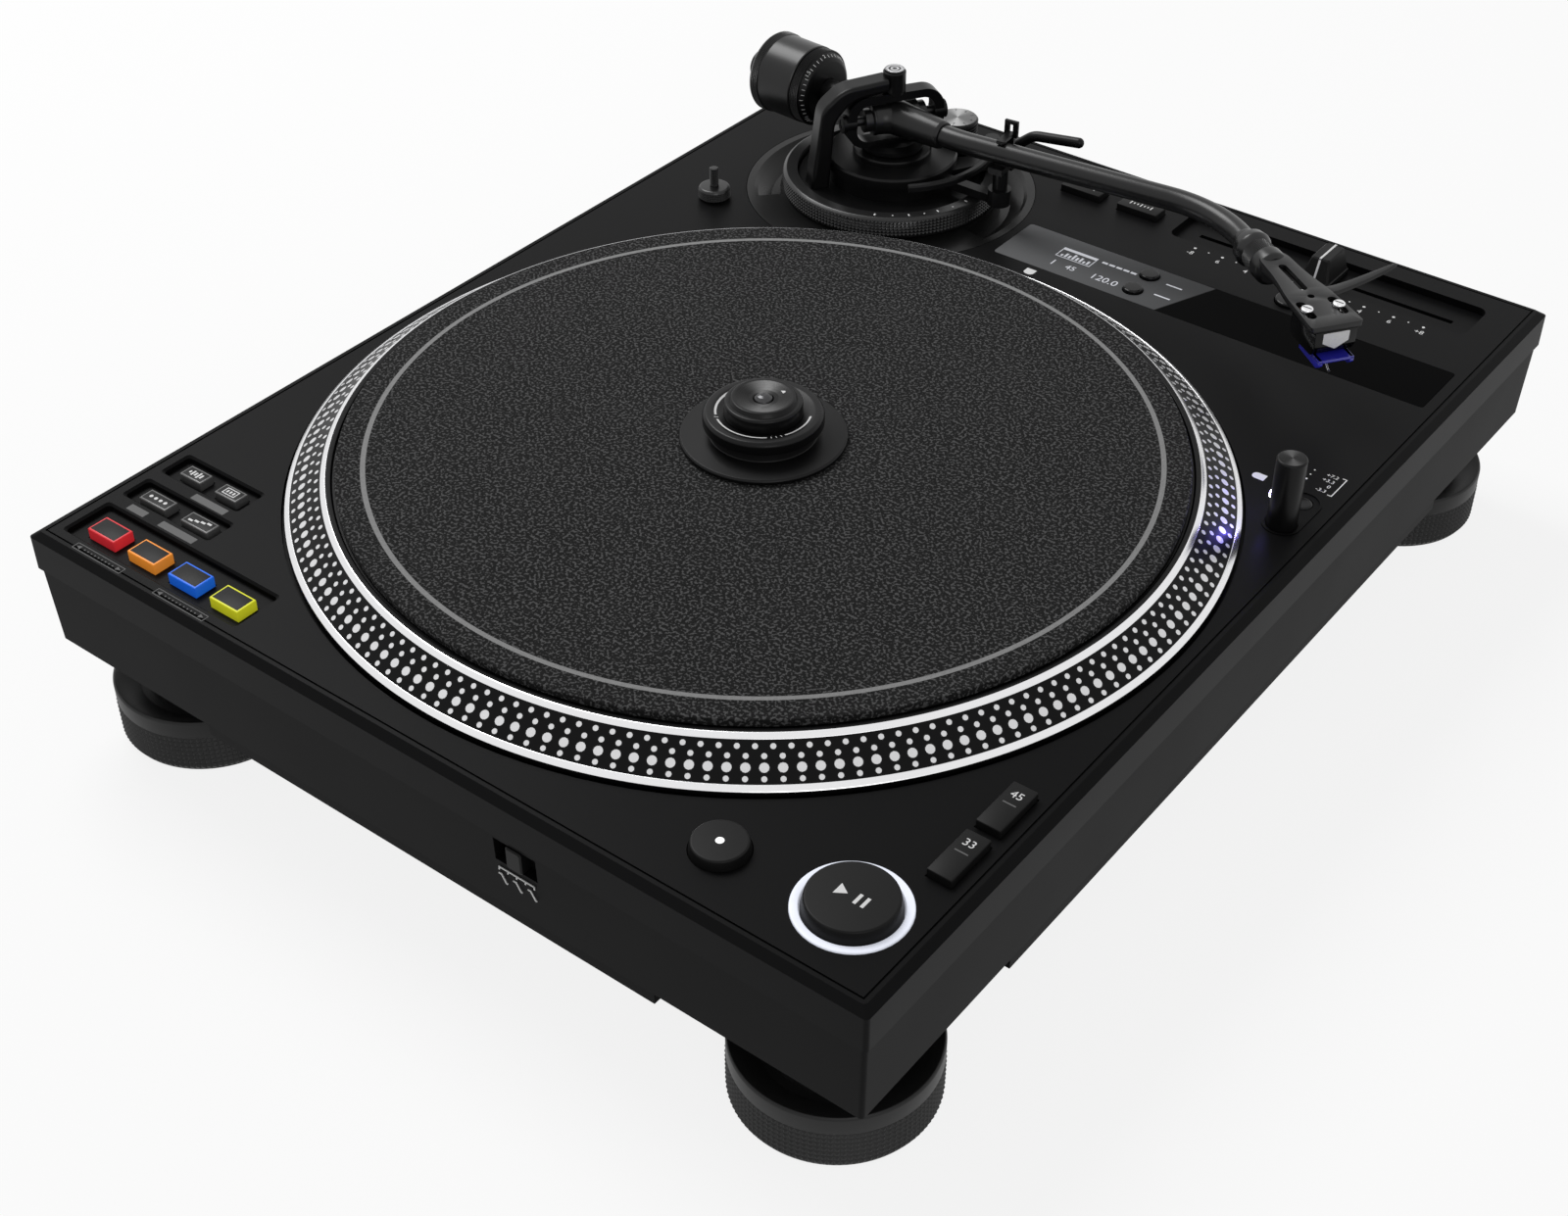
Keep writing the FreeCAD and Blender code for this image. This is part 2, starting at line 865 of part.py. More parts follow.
def top_case():
    body = edged_slab(-half_width, half_width, -half_depth, half_depth, seam_height, deck_height,
                      corner_radius, edge_chamfer_out, edge_chamfer_down)
    through = deck_under - 1
    above = deck_height + 1
    cuts = [edge_groove(),
            block(case_wall - half_width, half_width - case_wall, case_wall - half_depth,
                  half_depth - case_wall, seam_height - 1, deck_under),
            disc(recess_radius, deck_height - recess_depth, above, spindle_x, spindle_y),
            disc(motor_hole_radius, through, above, spindle_x, spindle_y),
            well_blank(piece_gap, through, above),
            slab(window_left - lip_gap, window_right + lip_gap, window_front - lip_gap,
                 window_back + lip_gap, deck_height - window_thickness - lip_gap, above, corner_radius),
            block(*screen_opening, through, above),
            slab(*fader_recess, deck_height - fader_recess_depth, above, fader_recess_corner),
            fader_slot(fader_slot_width, fader_slot_length, through, above),
            disc(start_ring_radius, through, above, start_x, start_y),
            disc(lamp_radius + piece_gap, through, above, lamp_x, lamp_y),
            disc(aux_thread_radius + running_gap, through, above, aux_x, aux_y)]
    cuts += [pit(recess) for recess in (pad_recess, upper_key_recess, lower_key_recess)]
    for name, x, y, width, depth, rise in rectangular_keys():
        cuts.append(centred_block(x, y, width + 2 * piece_gap, depth + 2 * piece_gap, through, above))
    for name, x, y, radius, top_radius, rise in round_keys():
        cuts.append(disc(radius + piece_gap, through, above, x, y))
    body = carve(body, cuts)
    lamp_ends = ((lamp_x, lamp_y), (lamp_x, lamp_button_y))
    bezel = stadium(*lamp_ends, lamp_bezel_radius, deck_height - lamp_bezel_proud,
                    deck_height + lamp_bezel_proud)
    bezel = bezel.cut(stadium(*lamp_ends, lamp_bezel_radius - lamp_bezel_wall, deck_height - 1,
                              deck_height + 1))
    return join([body, bezel] + case_posts(seam_height, deck_under))


def bay(bounds, spare, depth_spare):
    """The space of a socket bay in the rear side, grown by spare on all inner sides."""
    left, right = bounds
    return block(left - spare, right + spare, rear_face - bay_depth - depth_spare, rear_face + 1,
                 bay_bottom - spare, bay_top + spare)


def base_case():
    top = seam_height - seat_gap
    low = seam_step + base_taper
    body = Part.makeLoft([
        outline(low - half_width, half_width - low, low - half_depth, half_depth - low,
                corner_radius, base_height),
        outline(seam_step - half_width, half_width - seam_step, seam_step - half_depth,
                half_depth - seam_step, corner_radius, top)], True, True)
    wall = low + case_wall
    room = block(wall - half_width, half_width - wall, wall - half_depth, half_depth - wall,
                 floor_top, top + 1)
    trays = [bay(bounds, bay_wall, bay_wall).common(body) for bounds in bays]
    body = join([body.cut(room)] + trays + case_posts(floor_top, top))
    cuts = [bay(bounds, 0, 0) for bounds in bays] + socket_holes()
    cuts.append(block(brake_left, brake_right, -half_depth, wall - half_depth + 1, brake_bottom, brake_top))
    body = carve(body, cuts)
    studs = [disc(stud_radius, base_height - stud_length, base_height, x, y) for x, y in foot_places]
    pegs = [disc(board_post_radius, floor_top, floor_top + board_post_height, x, y)
            for board in (control_board, supply_board) for x in board[:2] for y in board[2:]]
    return join([body] + studs + pegs)


def bottom_cover():
    inset = seam_step + base_taper + belly_inset
    right = half_width - inset
    back = half_depth - inset
    inner_x = right - foot_bay
    inner_y = back - foot_bay
    corner = [(right, inner_y), (inner_x + foot_bay_cut, inner_y), (inner_x, inner_y + foot_bay_cut),
              (inner_x, back)]
    points = corner + [(-x, y) for x, y in reversed(corner)]
    points += [(-x, -y) for x, y in corner] + [(x, -y) for x, y in reversed(corner)]
    face = face_of([(x, y, base_height - belly_drop) for x, y in points])
    return face.extrude(Vector(0, 0, belly_drop - seat_gap))


def foot(x, y):
    top = base_height - piece_gap
    socket = base_height - stud_length - 1
    return turned([
        (0, 0), (foot_radius - 2.4, 0), (foot_radius - 1.2, 1.0), (foot_radius - 1.2, 2.0),
        (foot_radius, 2.0), (foot_radius, foot_knurl_height),
        (foot_radius - 0.5, foot_knurl_height + 0.5), (foot_radius - 0.5, foot_rim_height - 0.7),
        (foot_rim_radius, foot_rim_height), (foot_dish_radius + 6, foot_rim_height - 1.0),
        (foot_dish_radius, foot_dish_height), (foot_neck_radius, foot_dish_height),
        (foot_neck_radius, top), (stud_radius + running_gap, top),
        (stud_radius + running_gap, socket), (0, socket)], x, y)


# Platter and motor


def platter():
    low = (platter_radius - 0.4, deck_height + platter_edge_height - 0.5)
    high = (platter_top_radius, deck_height + platter_rise)
    run = (high[0] - low[0], high[1] - low[1])
    length = math.hypot(*run)
    along = (run[0] / length, run[1] / length)
    out = (along[1], -along[0])

    def slope(distance, proud):
        return (low[0] + along[0] * distance + out[0] * proud, low[1] + along[1] * distance + out[1] * proud)

    under = deck_height + platter_lift - recess_depth
    plate_under = mat_seat - platter_plate
    hub_under = plate_under - hub_drop
    inner = platter_radius - platter_rim_wall
    bore = spindle_radius + running_gap
    profile = [(bore, hub_under), (hub_radius, hub_under), (hub_radius, plate_under),
               (platter_top_radius - platter_rim_wall, plate_under), (inner, under + 2), (inner, under),
               (platter_radius - 0.4, under), (platter_radius, under + 0.5),
               (platter_radius, low[1] - 0.3),
               slope(0, rim_band_proud), slope(rim_band_width, rim_band_proud), slope(rim_band_width, 0),
               slope(length - rim_band_width, 0), slope(length - rim_band_width, rim_band_proud),
               slope(length, rim_band_proud),
               (platter_lip_radius + 0.6, high[1]), (platter_lip_radius, mat_seat), (bore, mat_seat)]
    body = turned(profile, spindle_x, spindle_y)
    rib = block(magnet_outer_radius + 2, platter_top_radius - 4, -platter_rib_width / 2,
                platter_rib_width / 2, plate_under - platter_rib_depth, plate_under)
    ribs = [placed(rib, 360 / platter_rib_count * number, spindle_x, spindle_y)
            for number in range(platter_rib_count)]
    return join([body] + ribs)


def slipmat():
    return tube(mat_radius, spindle_radius + piece_gap, mat_seat, mat_top, spindle_x, spindle_y)


def spindle():
    hub_under = mat_seat - platter_plate - hub_drop
    foot_end = deck_under - bearing_depth + bearing_cap + piece_gap
    tip = deck_height + spindle_tip_height
    return turned([
        (0, foot_end), (shaft_radius, foot_end), (shaft_radius, hub_under - shaft_flange_height),
        (shaft_flange_radius, hub_under - shaft_flange_height), (shaft_flange_radius, hub_under),
        (spindle_radius, hub_under), (spindle_radius, tip - 2.4), (spindle_radius - 0.5, tip - 1.1),
        (spindle_radius - 1.5, tip - 0.3), (spindle_radius - 2.6, tip), (0, tip)], spindle_x, spindle_y)


def rotor_magnet():
    top = mat_seat - platter_plate
    return tube(magnet_outer_radius, magnet_inner_radius, top - magnet_height, top, spindle_x, spindle_y)


def motor_stator():
    top = deck_under - seat_gap
    plate = tube(stator_plate_radius, bearing_radius + seat_gap, top - stator_plate_thickness, top,
                 spindle_x, spindle_y)
    core = tube(bearing_radius + 4, bearing_radius + seat_gap, top, top + coil_height, spindle_x, spindle_y)
    spoke = block(bearing_radius + 2, coil_outer_radius, -coil_width / 6, coil_width / 6,
                  top, top + coil_height - 0.6)
    coil = slab(coil_inner_radius, coil_outer_radius, -coil_width / 2, coil_width / 2,
                top, top + coil_height, coil_width / 3)
    parts = []
    for number in range(coil_count):
        parts.append(placed(join([spoke, coil]), 360 / coil_count * number, spindle_x, spindle_y))
    return join([plate, core] + parts)


def spindle_bearing():
    flange_top = deck_under - seat_gap - stator_plate_thickness - seat_gap
    bottom = deck_under - bearing_depth
    top = mat_seat - platter_plate - hub_drop - shaft_flange_height - piece_gap
    bore = shaft_radius + running_gap
    return turned([
        (0, bottom), (bearing_radius - 1, bottom), (bearing_radius, bottom + 1),
        (bearing_radius, flange_top - 3), (bearing_flange_radius, flange_top - 3),
        (bearing_flange_radius, flange_top), (bearing_radius, flange_top), (bearing_radius, top),
        (bore, top), (bore, bottom + bearing_cap), (0, bottom + bearing_cap)], spindle_x, spindle_y)


def clamp_body():
    seat = mat_top + seat_gap
    ring_top = seat + clamp_height
    floor = ring_top - clamp_scale_sink
    socket = seat + clamp_dial_seat
    stem = clamp_stem_radius + piece_gap
    return turned([
        (clamp_bore, seat), (clamp_flange_radius - 0.6, seat), (clamp_flange_radius, seat + 0.6),
        (clamp_flange_radius, seat + clamp_flange_height - 0.6),
        (clamp_flange_radius - 0.6, seat + clamp_flange_height),
        (clamp_waist_radius, seat + clamp_flange_height + 0.2), (clamp_waist_radius, ring_top - 5.2),
        (clamp_ring_radius, ring_top - 4.6), (clamp_ring_radius, ring_top - 1.1),
        (clamp_ring_radius - 1.1, ring_top), (clamp_scale_radius, ring_top), (clamp_dial_radius, floor),
        (stem, floor), (stem, socket), (clamp_bore, socket)], spindle_x, spindle_y)


def clamp_dial():
    seat = mat_top + seat_gap
    bottom = seat + clamp_height - clamp_scale_sink + piece_gap
    shoulder = seat + clamp_dial_shoulder
    top = seat + clamp_dial_height
    stem_end = seat + clamp_dial_seat + piece_gap
    return turned([
        (clamp_bore, stem_end), (clamp_stem_radius, stem_end), (clamp_stem_radius, bottom),
        (clamp_dial_radius, bottom), (clamp_dial_radius, shoulder - 0.6),
        (clamp_dial_radius - 0.6, shoulder), (clamp_dial_rim + 0.9, shoulder), (clamp_dial_rim, top),
        (clamp_dial_rim - 0.9, top), (clamp_bore + 1.5, top - 1.0), (clamp_bore, top - 1.0)],
        spindle_x, spindle_y)


# Buttons, lamp, fader, brake


def rectangular_key(x, y, width, depth, rise):
    lip_top = deck_under - lip_gap
    cap = edged_slab(x - width / 2, x + width / 2, y - depth / 2, y + depth / 2,
                     lip_top - button_lip_height, deck_height + rise, key_corner, button_chamfer,
                     button_chamfer)
    lip = centred_block(x, y, width + 2 * button_lip, depth + 2 * button_lip,
                        lip_top - button_lip_height, lip_top)
    return join([cap, lip])


def round_key(x, y, radius, top_radius, rise, lip_top):
    bottom = lip_top - button_lip_height
    top = deck_height + rise
    return turned([
        (0, bottom), (radius + button_lip, bottom), (radius + button_lip, lip_top), (radius, lip_top),
        (radius, deck_height), (top_radius + 0.3, top - 0.3), (top_radius, top), (0, top)], x, y)


def start_light_ring():
    """The lit ring round the start button, held from below by a wider edge."""
    outer = start_ring_radius - seat_gap
    edge_top = deck_under - seat_gap
    edge_bottom = edge_top - start_ring_edge
    return turned([
        (start_ring_bore, edge_bottom), (start_ring_radius + start_ring_edge, edge_bottom),
        (start_ring_radius + start_ring_edge, edge_top), (outer, edge_top),
        (outer, deck_height + start_ring_proud - 0.3), (outer - 0.3, deck_height + start_ring_proud),
        (start_ring_bore, deck_height + start_ring_proud)], start_x, start_y)


def display_window():
    top = deck_height
    glass = slab(window_left, window_right, window_front, window_back, top - window_thickness, top,
                 corner_radius)
    return carve(glass, [disc(display_button_radius + piece_gap, top - 3, top + 1, display_button_x, y)
                         for y in display_button_y])


def target_lamp():
    foot_top = deck_under - lip_gap
    top = deck_height + lamp_rise
    return turned([
        (0, foot_top - lamp_foot_height), (lamp_foot_radius, foot_top - lamp_foot_height),
        (lamp_foot_radius, foot_top), (lamp_radius, foot_top), (lamp_radius, top - 0.5),
        (lamp_radius - 0.5, top), (0, top)], lamp_x, lamp_y)


def fader_cap():
    """A ridged cap with a sloping front, on a flat blade that goes through the slot."""
    bottom = deck_height - fader_recess_depth + piece_gap
    skirt = bottom + fader_cap_skirt
    top = bottom + fader_cap_height
    half = fader_cap_width / 2
    front = fader_y - fader_cap_length / 2
    back = fader_y + fader_cap_length / 2
    ridge = fader_ridge_width / 2
    base = slab(fader_zero_x - half, fader_zero_x + half, front, back, bottom, skirt, key_corner)
    crown = Part.makeLoft([
        outline(fader_zero_x - half, fader_zero_x + half, front, back, key_corner, skirt),
        outline(fader_zero_x - ridge, fader_zero_x + ridge, front + fader_front_slope,
                back - fader_back_slope, key_corner, top)], True, True)
    blade = centred_block(fader_zero_x, fader_y, fader_blade_length, fader_blade_width,
                          deck_under - fader_blade_reach, bottom)
    return join([base, crown, blade])


def fader_track():
    top = deck_under - seat_gap
    bottom = top - track_height
    body = centred_block(fader_zero_x, fader_y, fader_slot_length + 2 * track_overrun, track_width,
                         bottom, top)
    room = fader_slot(fader_slot_width, fader_slot_length, bottom + track_floor, top + 1)
    return body.cut(room)


def brake_slider():
    left = (brake_left + brake_right - brake_knob_width) / 2
    right = left + brake_knob_width
    face = seam_step - half_depth
    inner = seam_step + base_taper + case_wall - half_depth + lip_gap
    knob = upright(edged_slab(left, right, brake_bottom + piece_gap, brake_top - piece_gap, 0,
                              inner - face + brake_knob_proud, key_corner, button_chamfer, button_chamfer))
    knob.translate(Vector(0, inner, 0))
    flange = block(left - brake_flange, right + brake_flange, inner, inner + brake_flange_thickness,
                   brake_bottom - brake_flange, brake_top + brake_flange)
    return join([knob, flange])


# Rear side and boards


def wall_block(x, height, width, tall, inward, outward):
    wall = rear_face - bay_depth
    return block(x - width / 2, x + width / 2, wall - inward, wall + outward,
                 height - tall / 2, height + tall / 2)


def wall_disc(radius, x, height, inward, outward):
    wall = rear_face - bay_depth
    return Part.makeCylinder(radius, inward + outward, Vector(x, wall - inward, height), Vector(0, 1, 0))


def socket_holes():
    """The holes in the inner walls of the bays that the sockets are fitted in."""
    inward = bay_wall + 1
    holes = [wall_block(data_x, socket_height, data_width + 2 * data_shell + 2 * seat_gap,
                        data_tall + 2 * data_shell + 2 * seat_gap, inward, 1),
             wall_block(switch_x, socket_height, switch_width + 2 * seat_gap,
                        switch_tall + 2 * seat_gap, inward, 1),
             wall_block(inlet_x, socket_height, inlet_width + 2 * inlet_shell + 2 * seat_gap,
                        inlet_tall + 2 * inlet_shell + 2 * seat_gap, inward, 1),
             wall_disc(ground_radius + seat_gap, ground_x, socket_height, inward, 1)]
    for x in signal_x:
        for height in signal_heights:
            holes.append(wall_disc(signal_radius + seat_gap, x, height, inward, 1))
    return holes


def signal_sockets():
    parts = []
    for x in signal_x:
        middle = sum(signal_heights) / 2
        parts.append(wall_block(x, middle, signal_plate_width, signal_plate_tall, -seat_gap,
                                signal_plate))
        for height in signal_heights:
            parts.append(wall_disc(signal_radius, x, height, signal_depth, signal_length))
    bores = [wall_disc(signal_pin_radius, x, height, signal_depth - 2, signal_length + 1)
             for x in signal_x for height in signal_heights]
    return join(parts).cut(bores)


def ground_terminal():
    post = wall_disc(ground_radius, ground_x, socket_height, bay_wall + 2, signal_length)
    collar = wall_disc(ground_nut_radius, ground_x, socket_height, -seat_gap, 1.5)
    nut = wall_disc(ground_nut_radius, ground_x, socket_height, -3.0, 7.0)
    return join([post, collar, nut])


def data_socket():
    shell = wall_block(data_x, socket_height, data_width + 2 * data_shell, data_tall + 2 * data_shell,
                       socket_depth, 0)
    room = wall_block(data_x, socket_height, data_width, data_tall, socket_depth - 2, 1)
    tongue = wall_block(data_x, socket_height, data_width / 2, data_tall / 3, socket_depth - 1, -1.5)
    return join([shell.cut(room), tongue])


def mains_inlet():
    shell = wall_block(inlet_x, socket_height, inlet_width + 2 * inlet_shell,
                       inlet_tall + 2 * inlet_shell, socket_depth, 0)
    room = wall_block(inlet_x, socket_height, inlet_width, inlet_tall, socket_depth - 2, 1)
    blades = [wall_block(inlet_x + side * inlet_blade_spacing, socket_height - inlet_blade_drop * abs(side),
                         inlet_blade_width, inlet_blade_tall, socket_depth - 1, -1.5)
              for side in (-1, 0, 1)]
    return join([shell.cut(room)] + blades)


def switch_frame():
    shell = wall_block(switch_x, socket_height, switch_width, switch_tall, switch_depth, 0)
    room = wall_block(switch_x, socket_height, switch_width - 2 * switch_shell,
                      switch_tall - 2 * switch_shell, switch_depth - 2, 1)
    return shell.cut([room, rocker_pin(running_gap)])


def rocker_pin(spare):
    """The cross pin of the rocker, or its bearing hole with spare all round."""
    length = switch_width - 2 * switch_shell + 2 * (rocker_pin_reach + spare)
    start = Vector(switch_x - length / 2, rear_face - bay_depth - rocker_sink, socket_height)
    return Part.makeCylinder(rocker_pin_radius + spare, length, start, Vector(1, 0, 0))


def rear_sockets():
    return Part.makeCompound([signal_sockets(), ground_terminal(), data_socket(), mains_inlet(),
                              switch_frame()])


def power_switch():
    """A rocker with two sloping faces, drawn level and tipped to its off side."""
    middle = rear_face - bay_depth - rocker_sink
    half = rocker_half
    points = [(-rocker_root, -rocker_root), (1.0, -half), (rocker_tip, -half), (rocker_tip - 1.3, 0),
              (rocker_tip, half), (1.0, half), (-rocker_root, rocker_root)]
    width = switch_width - 2 * switch_shell - 2 * piece_gap
    face = face_of([(switch_x - width / 2, middle + y, socket_height + z) for y, z in points])
    body = face.extrude(Vector(width, 0, 0))
    body.rotate(Vector(switch_x, middle, socket_height), Vector(1, 0, 0), rocker_tilt)
    return join([body, rocker_pin(0)])


def circuit_boards():
    """The control board with its chip and jack blocks, and the supply board with its transformer."""
    seat = floor_top + board_post_height + seat_gap
    top = seat + board_thickness
    boards = []
    for left, right, front, back in (control_board, supply_board):
        boards.append(block(left - board_edge, right + board_edge, front - board_edge, back + board_edge,
                            seat, top))
    left, right, front, back = control_board
    control = [boards[0], centred_block((left + right) / 2, (front + back) / 2, chip_size, chip_size,
                                        top, top + chip_height)]
    width, depth, tall = jack_block
    for number in range(4):
        control.append(centred_block(left + jack_inset + jack_pitch * number, back - jack_inset / 2,
                                     width, depth, top, top + tall))
    left, right, front, back = supply_board
    width, depth, tall = transformer
    supply = [boards[1], centred_block(left + transformer_inset[0], front + transformer_inset[1],
                                       width, depth, top, top + tall)]
    for number in range(3):
        supply.append(disc(capacitor_radius, top, top + capacitor_height, right - capacitor_inset,
                           front + capacitor_inset + capacitor_pitch * number))
    return Part.makeCompound([join(control), join(supply)])


def auxiliary_weight():
    bottom = deck_height + seat_gap
    top = bottom + aux_height
    return turned([
        (0, deck_under + 0.5), (aux_thread_radius, deck_under + 0.5), (aux_thread_radius, bottom),
        (aux_radius - 0.6, bottom), (aux_radius, bottom + 0.6), (aux_radius, top - 0.8),
        (aux_radius - 0.8, top), (aux_pin_radius, top), (aux_pin_radius, bottom + aux_pin_height - 0.4),
        (aux_pin_radius - 0.4, bottom + aux_pin_height), (0, bottom + aux_pin_height)], aux_x, aux_y)


# Tonearm seat and bearing


def scoop(start, end):
    profile = [(scoop_inner_radius, deck_height + 1), (scoop_inner_radius, deck_height - scoop_depth),
               (scoop_inner_radius + scoop_floor_width, deck_height - scoop_depth),
               (scoop_outer_radius - 1.5, deck_height - 1.5), (scoop_outer_radius, deck_height),
               (scoop_outer_radius, deck_height + 1)]
    return turned(profile, pivot_x, pivot_y, end - start, start)


def tonearm_well():
    body = well_blank(0, deck_height - well_thickness, deck_height)
    hole = disc(base_stem_radius + base_stem_gap, 0, deck_height + 1, pivot_x, pivot_y)
    return carve(body, [hole, scoop(*scoop_right), scoop(*scoop_left)])


def height_ring():
    bottom = deck_height + piece_gap
    knurl_top = deck_height + height_ring_knurl_top
    top = deck_height + height_ring_height
    return turned([
        (height_ring_bore, bottom), (height_ring_radius - 0.6, bottom), (height_ring_radius, bottom + 0.8),
        (height_ring_radius, knurl_top), (height_ring_top_radius + 0.3, top), (height_ring_bore, top)],
        pivot_x, pivot_y)


def base_turning():
    """The round stack under the arm: stem, disc, drum, slab and hub with its lower pivot pin."""
    stem_bottom = base_disc_bottom - base_stem_length
    return turned([
        (0, stem_bottom), (base_stem_radius, stem_bottom), (base_stem_radius, base_disc_bottom),
        (base_disc_radius, base_disc_bottom), (base_disc_radius, base_disc_top - 0.5),
        (base_disc_radius - 0.5, base_disc_top), (base_drum_radius, base_disc_top),
        (base_drum_radius, base_drum_top), (base_drum_radius - 0.8, base_drum_top),
        (base_drum_radius - 0.8, base_slab_bottom), (base_slab_radius, base_slab_bottom),
        (base_slab_radius, base_slab_top - 0.8), (base_slab_radius - 0.8, base_slab_top),
        (base_hub_radius, base_slab_top), (base_hub_radius, base_hub_top - 0.6),
        (base_hub_radius - 0.6, base_hub_top), (lower_pin_radius, base_hub_top),
        (lower_pin_radius, base_hub_top + lower_pin_length), (0, base_hub_top + lower_pin_length)])


def base_wing():
    """The side plate that carries the anti-skate dial, the lifter and the cue lever."""
    ends = [stadium((0, base_drum_radius - 6), (dial_x, dial_y), dial_radius, wing_bottom, wing_top),
            stadium((dial_x, dial_y), lever_root[:2], lifter_housing_radius, wing_bottom, wing_top),
            stadium((base_drum_radius - 6, 4), polar(lifter_radius, lifter_azimuth, 0, 0),
                    lifter_housing_radius, wing_bottom, wing_top)]
    housing = disc(lifter_housing_radius, wing_bottom, lifter_housing_top,
                   *polar(lifter_radius, lifter_azimuth, 0, 0))
    wing = join(ends + [housing])
    return wing.cut(disc(lifter_post_radius + running_gap, wing_bottom + 1, lifter_housing_top + 1,
                         *polar(lifter_radius, lifter_azimuth, 0, 0)))


def lever_bracket():
    """Two lugs beside the root of the cue lever with the pin between them."""
    azimuth = math.degrees(math.atan2(lever_tip[1] - lever_root[1], lever_tip[0] - lever_root[0]))
    spread = lever_radius + piece_gap
    lug = block(-lever_lug / 2, lever_lug / 2, spread, spread + lug_thickness, wing_top - lever_root[2], 0)
    eye = Part.makeCylinder(lever_lug / 2, lug_thickness, Vector(0, spread, 0), Vector(0, 1, 0))
    side = join([lug, eye])
    other = side.mirror(Vector(0, 0, 0), Vector(0, 1, 0))
    pin = Part.makeCylinder(lever_pin_radius, 2 * spread + 1, Vector(0, -spread - 0.5, 0), Vector(0, 1, 0))
    return placed(join([side, other, pin]), azimuth, *lever_root)


def rest_stand():
    """The arm rest: bar, collar, post and a pad under the tube with ears for the clip."""
    bar = block(base_drum_radius - 4, rest_reach, -rest_bar_width / 2, rest_bar_width / 2,
                rest_bar_bottom, rest_bar_bottom + rest_bar_height)
    collar = disc(rest_collar_radius, rest_bar_bottom, rest_collar_top, rest_reach, 0)
    pad_top = arm_height - tube_radius - piece_gap
    post = disc(rest_post_radius, rest_collar_top, pad_top - rest_pad_height, rest_reach, 0)
    pad = block(-rest_pad_length / 2, rest_pad_length / 2, -rest_pad_half, rest_pad_half,
                pad_top - rest_pad_height, pad_top)
    pivot_height = arm_height - clip_pivot_down
    inner = clip_width / 2 + piece_gap
    ear = block(inner, inner + rest_ear, rest_pad_half - 1, clip_pivot_out + clip_eye_radius,
                pivot_height - clip_eye_radius, pivot_height + clip_eye_radius)
    pin = Part.makeCylinder(clip_pin_radius, 2 * inner + 1,
                            Vector(-inner - 0.5, clip_pivot_out, pivot_height), Vector(1, 0, 0))
    cradle = join([pad, ear, ear.mirror(Vector(0, 0, 0), Vector(1, 0, 0)), pin])
    return join([bar, collar, post, placed(cradle, straight_azimuth, rest_reach, rest_offset)])


def tonearm_base():
    body = join([base_turning(), base_wing(), lever_bracket(), rest_stand()])
    dial_room = disc(dial_radius + piece_gap, dial_bottom - piece_gap, dial_top, dial_x, dial_y)
    return on_pivot(carve(body, [dial_room]))


def bearing_arch():
    """The bent bridge over the bearing, with the boss and pin that hold the gimbal from above."""
    side = -arch_width / 2
    outer = [(reach, side, arm_height + rise) for reach, rise in arch_outer]
    inner = [(reach, side, arm_height + rise) for reach, rise in arch_inner]
    outer = bent_line([(arch_foot_outer, side, arch_foot_height)] + outer, arch_outer_bends)
    inner = bent_line(inner + [(arch_foot_inner, side, arch_foot_height)], arch_inner_bends)
    crown = Part.makeLine(outer.Vertexes[-1].Point, inner.Vertexes[0].Point)
    sole = Part.makeLine(inner.Vertexes[-1].Point, outer.Vertexes[0].Point)
    face = Part.Face(Part.Wire(outer.Edges + [crown] + inner.Edges + [sole]))
    leg = face.extrude(Vector(0, arch_width, 0))
    ends = (arch_foot_height + 0.01, arch_outer[-1][0] + 0.01)
    long_edges = [edge for edge in leg.Edges
                  if edge.BoundBox.YLength < 0.01 and edge.BoundBox.ZMax > ends[0]
                  and edge.BoundBox.XMax > ends[1]]
    leg = leg.makeFillet(arch_round, long_edges)
    boss = turned([
        (0, arch_boss_bottom), (arch_boss_radius, arch_boss_bottom), (arch_boss_radius, arch_boss_top - 0.5),
        (arch_boss_radius - 0.5, arch_boss_top), (arch_cap_radius, arch_boss_top),
        (arch_cap_radius, arch_boss_top + arch_cap_rise - 0.2),
        (arch_cap_radius - 0.2, arch_boss_top + arch_cap_rise), (0, arch_boss_top + arch_cap_rise)])
    pin = disc(pivot_pin_radius, gimbal_top - gimbal_roof + piece_gap, arch_boss_bottom + 1)
    return on_pivot(join([leg, boss, pin]), arch_azimuth)


